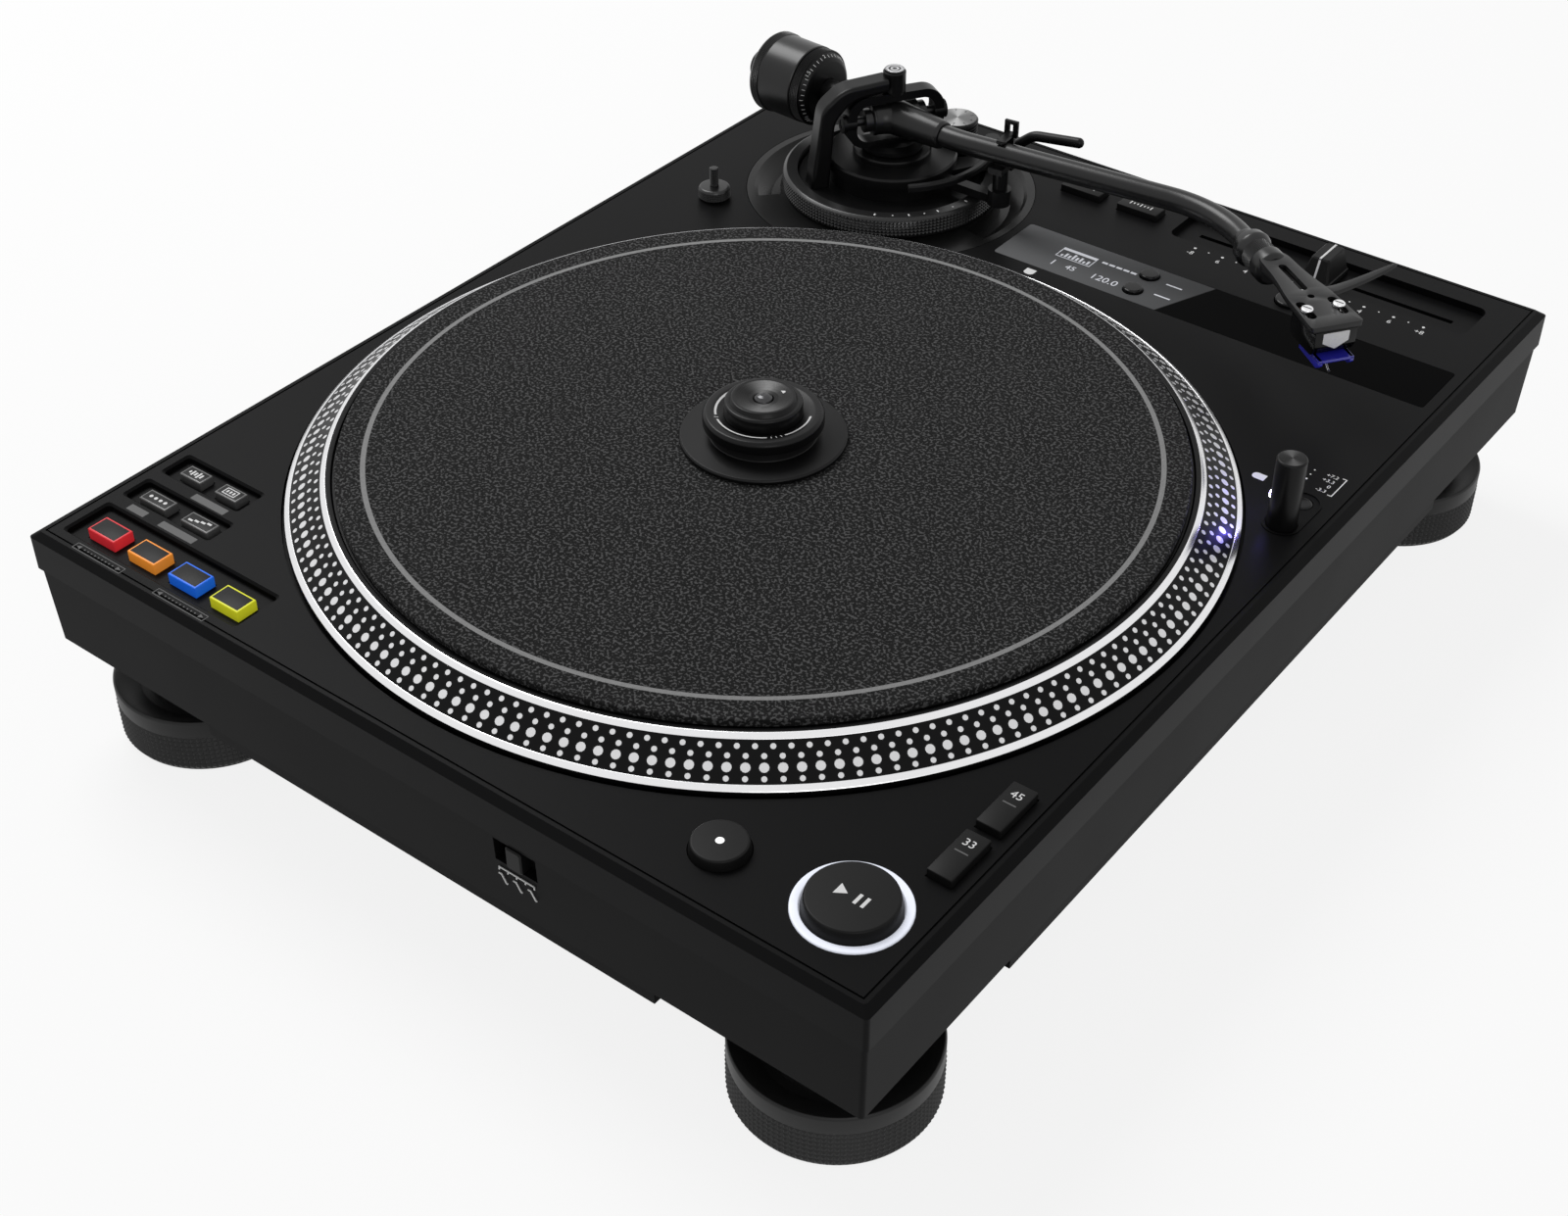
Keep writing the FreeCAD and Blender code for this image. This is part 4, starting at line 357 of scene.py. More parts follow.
DARK_STEEL = Finish("dark_steel", (0.06, 0.06, 0.062), 0.25, metallic=0.9, grain=0.4, relief=0.003)
PRINT = Finish("white_print", (0.78, 0.78, 0.78), 0.55, specular=0.2, grain=0.1, relief=0.002, mottle=0.1)
GREY_PRINT = Finish("grey_print", (0.13, 0.13, 0.13), 0.6, specular=0.2, grain=0.1, relief=0.002, mottle=0.2)
BOARD = Finish("board_lacquer", (0.02, 0.11, 0.05), 0.4, specular=0.45, grain=1.5, relief=0.03, mottle=0.3)
COPPER = Finish("copper_wire", (0.72, 0.34, 0.18), 0.3, metallic=1.0, grain=0.35, relief=0.05, mottle=0.25)
BRASS = Finish("brass_turned", (0.68, 0.47, 0.2), 0.3, metallic=1.0, relief=0.01, mottle=0.12)
MAGNET = Finish("magnet_grey", (0.09, 0.09, 0.095), 0.5, metallic=0.8, grain=0.5, relief=0.02, mottle=0.2)
GUARD = Finish("guard_plastic", (0.022, 0.022, 0.42), 0.22, specular=0.5, grain=0.6, relief=0.003, coat=0.4)
SHIELD = Finish("shield_white", (0.75, 0.75, 0.74), 0.35, grain=0.4, relief=0.004)
RING_GLOW = Glow("ring_lit", (0.8, 0.83, 0.93), 0.4, specular=0.3, strength=0.35)
LAMP_GLOW = Glow("lamp_glow", (0.2, 0.16, 1.0), 0.4, specular=0.3, strength=160.0)
SCREEN_GLOW = Glow("screen_white", (0.55, 0.56, 0.6), 0.4, specular=0.3, strength=0.35)
DOT_GLOW = Glow("dot_lit", (0.9, 0.9, 0.9), 0.4, specular=0.3, strength=0.6)
FELT = Felt("mat_fibre", (0.012, 0.012, 0.0121), 0.95, specular=0.15, grain=0.75, relief=0.14)
WINDOW = Smoked("smoked_window", (0.0008, 0.0008, 0.0009), 0.07, specular=0.01, relief=0.002)


# Meshes

UPRIGHT = Matrix.Rotation(math.radians(90), 4, "X")
FACING_X = Matrix(((0, 0, 1, 0), (1, 0, 0, 0), (0, 1, 0, 0), (0, 0, 0, 1)))


class Align(Enum):
    """Where a line of figures is held."""

    MIDDLE = "CENTER"
    RIGHT = "RIGHT"


def at(x: float = 0.0, y: float = 0.0, z: float = 0.0, azimuth: float = 0.0) -> Matrix:
    """Return a place: turned about the upright by azimuth degrees, then moved."""
    return Matrix.Translation((x, y, z)) @ Matrix.Rotation(math.radians(azimuth), 4, "Z")


def lying(azimuth: float, x: float, y: float, z: float) -> Matrix:
    """Return a place whose own Z axis lies level along azimuth."""
    return at(x, y, z, azimuth) @ Matrix.Rotation(math.radians(90), 4, "Y")


def polar(distance: float, azimuth: float, x: float = 0.0, y: float = 0.0) -> Spot:
    """Return the point at a distance and direction from x, y."""
    angle = math.radians(azimuth)
    return x + distance * math.cos(angle), y + distance * math.sin(angle)


def box_outline(width: float, depth: float, x: float = 0.0, y: float = 0.0) -> list[Spot]:
    """Return the four corners of a rectangle round x, y."""
    return [(x + sx * width / 2, y + sy * depth / 2) for sx, sy in ((-1, -1), (1, -1), (1, 1), (-1, 1))]


def bar(left: float, right: float, front: float, back: float, rounding: float = 0.0) -> list[Point]:
    """Return the outline of a rectangle between its four edges."""
    corners = ((left, front), (right, front), (right, back), (left, back))
    return [(x, y, rounding) for x, y in corners]


def soften(mesh: bmesh.types.BMesh, geom: Sequence[Any], offset: float, segments: int = 2,
           affect: str = "EDGES") -> None:
    """Bevel edges, or the corners of a flat line."""
    bmesh.ops.bevel(mesh, geom=geom, offset=offset, offset_type="OFFSET", affect=affect, segments=segments,
                    profile=0.5, material=-1, clamp_overlap=affect == "EDGES")


def linked(name: str, data: bpy.types.ID) -> bpy.types.Object:
    """Make an object of this data and put it in the scene."""
    made = bpy.data.objects.new(name, data)
    bpy.context.scene.collection.objects.link(made)
    return made


def wire(mesh: bmesh.types.BMesh, points: Outline, closed: bool, segments: int = 4,
         lift: Callable[[Sequence[float]], Sequence[float]] = lambda p: (p[0], 0.0, p[1])) -> list[Any]:
    """Draw a line of edges and round the corners that ask for it.

    Args:
        mesh: the mesh to draw in.
        points: two coordinates each, and a third for the size of a rounded corner.
        closed: whether the last point joins the first.
        segments: edges in each rounded corner.
        lift: puts the two coordinates in space.

    Returns:
        The edges of the line before its corners are rounded.
    """
    verts = [mesh.verts.new(lift(point)) for point in points]
    edges = [mesh.edges.new(pair) for pair in zip(verts, verts[1:])]
    if closed:
        edges.append(mesh.edges.new((verts[-1], verts[0])))
    for vert, point in zip(verts, points):
        if len(point) > 2 and point[2] > 0:
            soften(mesh, [vert], point[2], segments, "VERTICES")
    return edges


@dataclass(frozen=True)
class Knurl:
    """Rows of small pyramids on the upright part of a profile between two heights."""

    low: float
    high: float
    rows: int
    depth: float = 0.5


@dataclass(frozen=True)
class Band:
    """The faces of a turned piece between two radii and two heights, with a finish of their own."""

    inner: float
    outer: float
    low: float
    high: float
    finish: int = 1


class Form:
    """A mesh that is modelled in millimetres, with a finish number on every face."""

    def __init__(self) -> None:
        """Start empty."""
        self.mesh = bmesh.new()

    def take(self, part: bmesh.types.BMesh, place: Matrix = Matrix(), finish: int = 0,
             weld: bool = True) -> "Form":
        """Close up a part, put it in its place and add it.

        Args:
            part: the mesh to add, which is used up.
            place: where it goes.
            finish: the finish number of its faces.
            weld: whether its doubles are merged and its faces turned outwards.

        Returns:
            This form.
        """
        if weld:
            bmesh.ops.remove_doubles(part, verts=part.verts, dist=1e-4)
            bmesh.ops.recalc_face_normals(part, faces=part.faces)
        bmesh.ops.transform(part, matrix=place, verts=part.verts)
        for face in part.faces:
            face.material_index += finish
        data = bpy.data.meshes.new("part")
        part.to_mesh(data)
        part.free()
        self.mesh.from_mesh(data)
        bpy.data.meshes.remove(data)
        return self

    def lathe(self, profile: Outline, steps: int = 96, place: Matrix = Matrix(), finish: int = 0,
              knurls: Sequence[Knurl] = (), bands: Sequence[Band] = ()) -> "Form":
        """Turn a closed outline of (radius, height, rounding) about the upright line.

        Args:
            profile: the outline; ends that both lie on the line aren't joined.
            steps: faces round the turn.
            place: where it goes.
            finish: the finish number of its faces.
            knurls: bands of small pyramids.
            bands: faces with another finish.

        Returns:
            This form.
        """
        part = bmesh.new()
        closed = not (profile[0][0] == 0 and profile[-1][0] == 0)
        edges = wire(part, profile, closed)
        for knurl in knurls:
            spans = [edge for edge in edges if edge.is_valid and self.inside(edge, knurl)]
            bmesh.ops.subdivide_edges(part, edges=spans, cuts=knurl.rows - 1)
        bmesh.ops.spin(part, geom=part.verts[:] + part.edges[:], cent=(0, 0, 0), axis=(0, 0, 1),
                       angle=math.tau, steps=steps, use_merge=True)
        bmesh.ops.remove_doubles(part, verts=part.verts, dist=1e-4)
        bmesh.ops.recalc_face_normals(part, faces=part.faces)
        for knurl in knurls:
            faces = [face for face in part.faces
                     if abs(face.normal.z) < 0.3 and knurl.low < face.calc_center_median().z < knurl.high
                     and face.normal.dot(face.calc_center_median()) > 0]
            bmesh.ops.poke(part, faces=faces, offset=knurl.depth, center_mode="MEAN")
        for band in bands:
            for face in part.faces:
                centre = face.calc_center_median()
                if band.inner < centre.xy.length < band.outer and band.low < centre.z < band.high:
                    face.material_index = band.finish
        return self.take(part, place, finish, weld=False)

    @staticmethod
    def inside(edge: bmesh.types.BMEdge, knurl: Knurl) -> bool:
        """Tell whether an edge is the upright one that a knurl covers."""
        heights = sorted(vert.co.z for vert in edge.verts)
        across = abs(edge.verts[0].co.x - edge.verts[1].co.x)
        outer = max(vert.co.x for vert in edge.verts)
        return (across < 0.5 and abs(heights[0] - knurl.low) < 0.01 and abs(heights[1] - knurl.high) < 0.01
                and outer > 0)

    def prism(self, loops: Sequence[Outline], bottom: float, top: float, bevel: float = 0.0,
              place: Matrix = Matrix(), finish: int = 0, segments: int = 5) -> "Form":
        """Raise flat outlines, the inner ones as holes, and soften the edges.

        Args:
            loops: closed outlines of (x, y, rounding).
            bottom: height of the under side.
            top: height of the upper side.
            bevel: how far the sharp edges are softened.
            place: where it goes.
            finish: the finish number of its faces.
            segments: edges in each rounded corner.

        Returns:
            This form.
        """
        part = bmesh.new()
        for loop in loops:
            wire(part, loop, True, segments, lambda p: (p[0], p[1], bottom))
        if len(loops) > 1:
            bmesh.ops.triangle_fill(part, edges=part.edges[:], use_beauty=True, use_dissolve=False)
        else:
            bmesh.ops.contextual_create(part, geom=part.edges[:])
        raised = bmesh.ops.extrude_face_region(part, geom=part.faces[:])["geom"]
        lifted = [item for item in raised if isinstance(item, bmesh.types.BMVert)]
        bmesh.ops.translate(part, vec=(0, 0, top - bottom), verts=lifted)
        bmesh.ops.recalc_face_normals(part, faces=part.faces)
        if bevel:
            rims = [edge for edge in part.edges if len(edge.link_faces) == 2
                    and edge.calc_face_angle() > math.radians(50)]
            soften(part, rims, bevel)
        return self.take(part, place, finish, weld=False)

    def block(self, low: Sequence[float], high: Sequence[float], bevel: float = 0.0,
              place: Matrix = Matrix(), finish: int = 0) -> "Form":
        """Add a box between two corners with softened edges."""
        part = bmesh.new()
        bmesh.ops.create_cube(part, size=1.0)
        size = [b - a for a, b in zip(low, high)]
        middle = [(a + b) / 2 for a, b in zip(low, high)]
        bmesh.ops.scale(part, vec=size, verts=part.verts)
        bmesh.ops.translate(part, vec=middle, verts=part.verts)
        if bevel:
            soften(part, part.edges[:], bevel, 3)
        return self.take(part, place, finish)

    def loft(self, sections: Sequence[Sequence[Sequence[float]]], place: Matrix = Matrix(), finish: int = 0,
             bevel: float = 0.0) -> "Form":
        """Join closed sections one after another and close both ends."""
        part = bmesh.new()
        rings = []
        for section in sections:
            verts = [part.verts.new(point) for point in section]
            rings.append([part.edges.new(pair) for pair in zip(verts, verts[1:] + verts[:1])])
        for first, second in zip(rings, rings[1:]):
            bmesh.ops.bridge_loops(part, edges=first + second)
        for ring in (rings[0], rings[-1]):
            bmesh.ops.contextual_create(part, geom=ring)
        bmesh.ops.recalc_face_normals(part, faces=part.faces)
        if bevel:
            rims = [edge for edge in part.edges if edge.calc_face_angle(0) > math.radians(30)]
            soften(part, rims, bevel)
        return self.take(part, place, finish, weld=False)

    def pipe(self, radius: float, start: Sequence[float], azimuth: float,
             runs: Sequence[tuple[float, float, float]], finish: int = 0, sides: int = 40) -> "Form":
        """Draw a level round bar along straight runs and level bends.

        Args:
            radius: of the bar.
            start: its first point.
            azimuth: its first direction in degrees.
            runs: (length, turn in degrees, bend radius) one after another.
            finish: the finish number of its faces.
            sides: faces round the bar.

        Returns:
            This form.
        """
        part = bmesh.new()
        ring = bmesh.ops.create_circle(part, cap_ends=True, segments=sides, radius=radius,
                                       matrix=lying(azimuth, *start))["verts"]
        place = Vector(start)
        geom = [ring[0].link_faces[0]]
        for length, turn, bend in runs:
            heading = Vector((*polar(1, azimuth), 0))
            if length:
                made = bmesh.ops.extrude_face_region(part, geom=geom)["geom"]
                moved = [item for item in made if isinstance(item, bmesh.types.BMVert)]
                bmesh.ops.translate(part, vec=heading * length, verts=moved)
                if geom[0].is_valid:
                    bmesh.ops.delete(part, geom=geom, context="FACES_ONLY")
                geom = [item for item in made if isinstance(item, bmesh.types.BMFace)]
                place = place + heading * length
            if turn:
                side = Vector((*polar(bend, azimuth + math.copysign(90, turn)), 0))
                steps = max(6, int(abs(turn) / 2.0))
                made = bmesh.ops.spin(part, geom=geom, cent=place + side, axis=(0, 0, 1),
                                      angle=math.radians(turn), steps=steps)["geom_last"]
                geom = [item for item in made if isinstance(item, bmesh.types.BMFace)]
                azimuth += turn
                back = Vector((*polar(bend, azimuth + math.copysign(90, turn)), 0))
                place = place + side - back
        return self.take(part, Matrix(), finish)

    def figures(self, text: str, size: float, place: Matrix, finish: int = 0,
                align: Align = Align.MIDDLE) -> "Form":
        """Add plain figures as a thin raised print in the local XY plane, held at their middle height."""
        curve = bpy.data.curves.new("figures", "FONT")
        curve.body = text
        curve.size = size
        curve.align_x = align.value
        curve.align_y = "CENTER"
        curve.resolution_u = 3
        curve.extrude = PRINT_RISE
        letters = bpy.data.objects.new("figures", curve)
        data = bpy.data.meshes.new_from_object(letters)
        part = bmesh.new()
        part.from_mesh(data)
        bpy.data.objects.remove(letters)
        bpy.data.curves.remove(curve)
        bpy.data.meshes.remove(data)
        for face in part.faces:
            face.material_index = 0
        return self.take(part, place, finish)

    def dot(self, radius: float, height: float, place: Matrix, finish: int = 0, sides: int = 20) -> "Form":
        """Add a small flat disc with a softened edge, height above the local plane."""
        profile = [(0, -PRINT_SINK), (radius, -PRINT_SINK), (radius, height * 0.4), (radius * 0.94, height),
                   (0, height)]
        return self.lathe(profile, sides, place, finish)

    def flat(self, loops: Sequence[Outline], height: float, finish: int = 0, sink: float = PRINT_SINK,
             rise: float = PRINT_RISE) -> "Form":
        """Print flat outlines on a level face at this height, sunk in it a little and proud of it."""
        return self.prism(loops, height - sink, height + rise, finish=finish)

    def piece(self, name: str, body: str, finishes: Sequence[Finish], slot: str,
              stands_for: Sequence[str] = (), place: Matrix = Matrix(),
              sharp: float = 32.0) -> bpy.types.Object:
        """Turn the form into a finished object on a body.

        Args:
            name: the piece's name.
            body: the body it moves with.
            finishes: one for each finish number.
            slot: the record's material slot; not used.
            stands_for: CAD nodes that it replaces.
            place: where the whole form goes, in millimetres.
            sharp: edges steeper than this stay sharp.

        Returns:
            The object, at the origin, in metres.
        """
        bmesh.ops.transform(self.mesh, matrix=Matrix.Scale(MM, 4) @ place, verts=self.mesh.verts)
        data = bpy.data.meshes.new(name)
        self.mesh.to_mesh(data)
        self.mesh.free()
        data.shade_smooth()
        data.set_sharp_from_angle(angle=math.radians(sharp))
        for finish in finishes:
            data.materials.append(finish.material())
        made = linked(name, data)
        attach(made, body)
        if stands_for:
            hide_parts(*stands_for)
        LOG.info("%s on %s: %d faces", name, body, len(data.polygons))
        return made


def dress(nodes: dict[str, bpy.types.Object], finish: Finish, *names: str) -> None:
    """Give CAD nodes that keep their shape a finish."""
    for name in names:
        node = nodes[name]
        if not node.material_slots:
            node.data.materials.append(finish.material())
        for slot in node.material_slots:
            slot.material = finish.material()
        LOG.info("%s keeps its solid in %s", name, finish.name)


# The casing and what is printed on it


@dataclass
class Casing:
    """The two case halves, their inner parts and the print on the deck and the front."""

    deck: float = DECK_TOP
    front: float = -225.5
    slider_x: float = 45.8
    scale_y: float = 184.9
    scale_zero: float = 93.45
    scale_step: float = 6.256
    corner: float = 0.3
    lamp_scale_y: float = 63.6
    lamp_scale_step: float = 3.25

    def build(self, nodes: dict[str, bpy.types.Object]) -> None:
        """Dress the solids that stay and add the print."""
        dress(nodes, DECK, "top_case")
        dress(nodes, SIDE, "base_case", "bottom_cover")
        dress(nodes, WELL, "tonearm_well")
        dress(nodes, WINDOW, "display_window")
        dress(nodes, CAP, "fader_track", "rear_sockets", "power_switch", "brake_slider")
        dress(nodes, BOARD, "circuit_boards")
        dress(nodes, COPPER, "motor_stator")
        dress(nodes, BRASS, "spindle_bearing")
        dress(nodes, MAGNET, "rotor_magnet")
        self.deck_print()
        self.front_print()
        self.screen()

    def deck_print(self) -> None:
        """Print the tempo scale, the lamp's scale, the two platter marks and the bars at the pads."""
        form = Form()
        for unit in range(-8, 9):
            x = self.scale_zero + unit * self.scale_step
            form.dot(0.62 if unit % 2 == 0 else 0.36, PRINT_RISE, at(x, self.scale_y, self.deck))
            if unit % 2 == 0:
                sign = "-" if unit == -8 else "+" if unit == 8 else ""
                form.figures(sign + str(abs(unit)), 3.6, at(x, self.scale_y - 4.2, self.deck))
        for step, label in enumerate(("-3.3", "0", "+3.3", "+7.2")):
            y = self.lamp_scale_y + self.lamp_scale_step * step
            form.figures(label, 2.6, at(163.6, y, self.deck), align=Align.RIGHT)
            if step:
                form.dot(0.5 if step == 1 else 0.32, PRINT_RISE, at(154.3, y, self.deck))
        bracket = [(164.6, 62.2), (166.4, 62.2), (166.4, 74.6), (164.6, 74.6), (164.6, 74.2), (166.0, 74.2),
                   (166.0, 62.6), (164.6, 62.6)]
        side_mark = [(138.0, 56.2, 1.6), (143.0, 56.2), (143.0, 59.8), (138.0, 59.8, 1.6)]
        back_mark = [(-2.2, 126.0, 1.6), (2.2, 126.0, 1.6), (2.2, 130.2), (-2.2, 130.2)]
        for outline in (bracket, side_mark, back_mark):
            form.flat([outline], self.deck)
        for plate in ((-147.5, -130.9, -179.8, -176.7), (-160.4, -151.7, -197.3, -194.2),
                      (-144.2, -126.8, -197.3, -194.2)):
            form.flat([bar(*plate, self.corner)], self.deck, 1)
        for left, right in ((-157.5, -133.2), (-116.5, -92.0)):
            self.frame(form, left, right, -222.9, -219.7)
        form.piece("deck_print", "plinth", [PRINT, GREY_PRINT], "ring_glow")

    def frame(self, form: Form, left: float, right: float, front: float, back: float, dots: int = 9) -> None:
        """Print an outlined bar with an arrow head at each end and dots between them."""
        line, head, margin = 0.3, 2.0, 5.0
        middle = (front + back) / 2
        outer = bar(left, right, front, back, self.corner)
        inner = bar(left + line, right - line, front + line, back - line)
        form.flat([outer, inner], self.deck, 1)
        for tip, side in ((left + 1.0, 1), (right - 1.0, -1)):
            base = tip + side * head
            form.flat([[(tip, middle), (base, middle - 0.9), (base, middle + 0.9)]], self.deck, 1)
        for number in range(dots):
            x = left + margin + (right - left - 2 * margin) * number / (dots - 1)
            form.dot(0.34, PRINT_RISE, at(x, middle, self.deck), 1, 10)

    def front_print(self) -> None:
        """Print the curve marks under the brake slider on the front face."""
        form = Form()
        marks = [bar(-7.4, 7.4, 57.4, 57.8)]
        for x in (-7.2, -3.6, 0.0, 3.6, 7.2):
            marks.append(bar(x - 0.2, x + 0.2, 56.4, 57.6))
        for x in (-6.0, 0.0, 6.0):
            marks.append([(x - 1.6, 54.6), (x - 0.6, 54.6), (x + 1.2, 51.6), (x + 1.9, 51.6), (x + 1.9, 52.0),
                          (x + 1.4, 52.0), (x - 0.4, 55.0), (x - 1.6, 55.0)])
        for mark in marks:
            form.prism([mark], -0.25, 0.05, place=at(self.slider_x, self.front) @ UPRIGHT)
        form.piece("brake_marks", "plinth", [PRINT], "ring_glow")

    def screen(self) -> None:
        """Show plain figures and bars on the display."""
        form = Form()
        top = self.deck + 0.01
        form.figures("1", 5.6, at(3.4, 140.2, top))
        form.figures("45", 4.6, at(11.6, 140.2, top))
        form.figures("120.0", 5.6, at(27.0, 140.4, top))
        shown = [[bar(1.0, 17.0, 145.6, 153.4), bar(1.4, 16.6, 146.0, 151.6)]]
        for number, height in enumerate((1.4, 3.0, 2.2, 4.0, 2.6, 3.4, 1.6, 2.8)):
            x = 3.2 + 1.7 * number
            shown.append([bar(x - 0.5, x + 0.5, 146.6, 146.6 + height)])
        shown += [[box_outline(2.6, 1.3, 20.6 + 3.3 * number, 152.2)] for number in range(5)]
        shown += [[box_outline(7.0, 0.8, 52.0, y)] for y in (143.2, 152.8)]
        for loops in shown:
            form.flat(loops, top, rise=PRINT_SINK)
        form.piece("display_figures", "plinth", [SCREEN_GLOW], "ring_glow")


@dataclass
class Foot:
    """A screw foot with its knurled grip."""

    number: int
    x: float
    y: float
    teeth: int = 106

    def build(self) -> None:
        """Turn the foot and cut its grip."""
        form = Form().lathe([
            (0, 0), (31.4, 0, 0.5), (32.6, 1.0), (32.6, 2.0), (33.2, 2.0), (33.2, 16.0), (33.5, 16.4, 0.2),
            (33.5, 22.6, 0.4), (32.9, 23.5, 0.4), (30.0, 22.5), (24.0, 18.8, 0.5), (21.0, 18.8), (21.0, 39.8),
            (8.05, 39.8), (8.05, 25.1), (0, 25.1)], self.teeth, at(self.x, self.y),
            knurls=[Knurl(2.0, 16.0, 7, 0.6)])
        name = "foot_%d" % self.number
        form.piece(name + "_body_turned", name + "_body", [RUBBER], "foot_black", [name])


# Platter, mat and clamp


@dataclass
class Platter:
    """The dotted platter with its bright bands, the felt mat and the spindle."""

    y: float = SPINDLE_Y
    low: Spot = (166.5, 88.4)
    high: Spot = (151.6, 98.6)
    band: float = 2.2
    bore: float = 3.65
    dots: int = 180
    small: float = 0.95
    large: float = 1.6
    mat_radius: float = 148.4
    mat_bottom: float = 97.8
    mat_top: float = 100.8

    @property
    def length(self) -> float:
        """Return the length of the rim's slope."""
        return (Vector(self.high) - Vector(self.low)).length

    def slope(self, distance: float, proud: float = 0.0) -> Spot:
        """Return the point at a distance up the rim's slope and proud of it."""
        run = Vector(self.high) - Vector(self.low)
        along = run.normalized()
        place = Vector(self.low) + along * distance + Vector((along.y, -along.x)) * proud
        return place.x, place.y

    def build(self, nodes: dict[str, bpy.types.Object]) -> None:
        """Turn the platter, lay the mat and dress the spindle."""
        dress(nodes, DARK_STEEL, "spindle")
        self.body()
        self.rim_dots()
        self.mat()

    def body(self) -> None:
        """Turn the platter with its two polished bands."""
        proud, end = 0.3, self.length - self.band
        outer, inner = self.slope(0, proud), self.slope(self.band, proud)
        upper, crown = self.slope(end, proud), self.slope(self.length, proud)
        profile = [(self.bore, 88.0), (14.0, 88.0), (14.0, 93.3), (146.6, 93.3), (161.9, 88.4), (161.9, 86.4),
                   (166.5, 86.4), (166.9, 86.9), (166.9, 88.1), (*outer, 0.2), (*inner, 0.2),
                   self.slope(self.band), self.slope(end), (*upper, 0.2), (*crown, 0.2),
                   (149.8, 98.7, 0.2), (149.2, 97.8), (self.bore, 97.8)]
        bands = [Band(inner[0] - 0.15, 167.5, 88.3, 90.3), Band(151.2, upper[0] + 0.12, 97.3, 99.2)]
        form = Form().lathe(profile, 360, at(0, self.y), bands=bands)
        form.piece("platter_turned", "platter_unit", [RIM, BRIGHT], "platter_metal", ["platter"])

    def rim_dots(self) -> None:
        """Set four rows of bright discs in the dark slope, each in a thin dark ring."""
        field = self.length - 2 * self.band
        tilt = math.atan2(self.high[1] - self.low[1], self.low[0] - self.high[0])
        part = bmesh.new()
        for share, radius, shift in ((0.14, self.small, 0.5), (0.36, self.small, 0.0),
                                     (0.62, self.large, 0.0), (0.875, self.small, 0.0)):
            reach, height = self.slope(self.length - self.band - share * field)
            place = (Matrix.Rotation(math.tau * shift / self.dots, 4, "Z") @ at(reach, 0, height)
                     @ Matrix.Rotation(tilt, 4, "Y"))
            for wide, tall, number in ((radius + 0.28, 0.02, 0), (radius, 0.06, 1)):
                made = bmesh.ops.create_cone(part, cap_ends=True, segments=12, radius1=wide,
                                             radius2=wide * 0.97, depth=0.2,
                                             matrix=place @ at(0, 0, tall - 0.1))["verts"]
                for face in {face for vert in made for face in vert.link_faces}:
                    face.material_index = number
        bmesh.ops.spin(part, geom=part.verts[:] + part.edges[:] + part.faces[:], cent=(0, 0, 0),
                       axis=(0, 0, 1), angle=math.tau * (1 - 1 / self.dots), steps=self.dots - 1,
                       use_duplicate=True)
        form = Form().take(part, at(0, self.y), weld=False)
        form.piece("rim_dots", "platter_unit", [GLOSS, DOTS], "platter_metal")

    def mat(self) -> None:
        """Lay the felt mat in the platter."""
        bore, low, top, edge = 3.9, self.mat_bottom, self.mat_top, self.mat_radius
        form = Form().lathe([(bore, low), (edge - 0.4, low), (edge, low + 0.4), (edge, top - 0.4, 0.3),
                             (edge - 0.4, top, 0.3), (bore, top)], 256, at(0, self.y))
        mat = form.piece("felt_mat", "platter_unit", [FELT], "mat_felt", ["slipmat"])


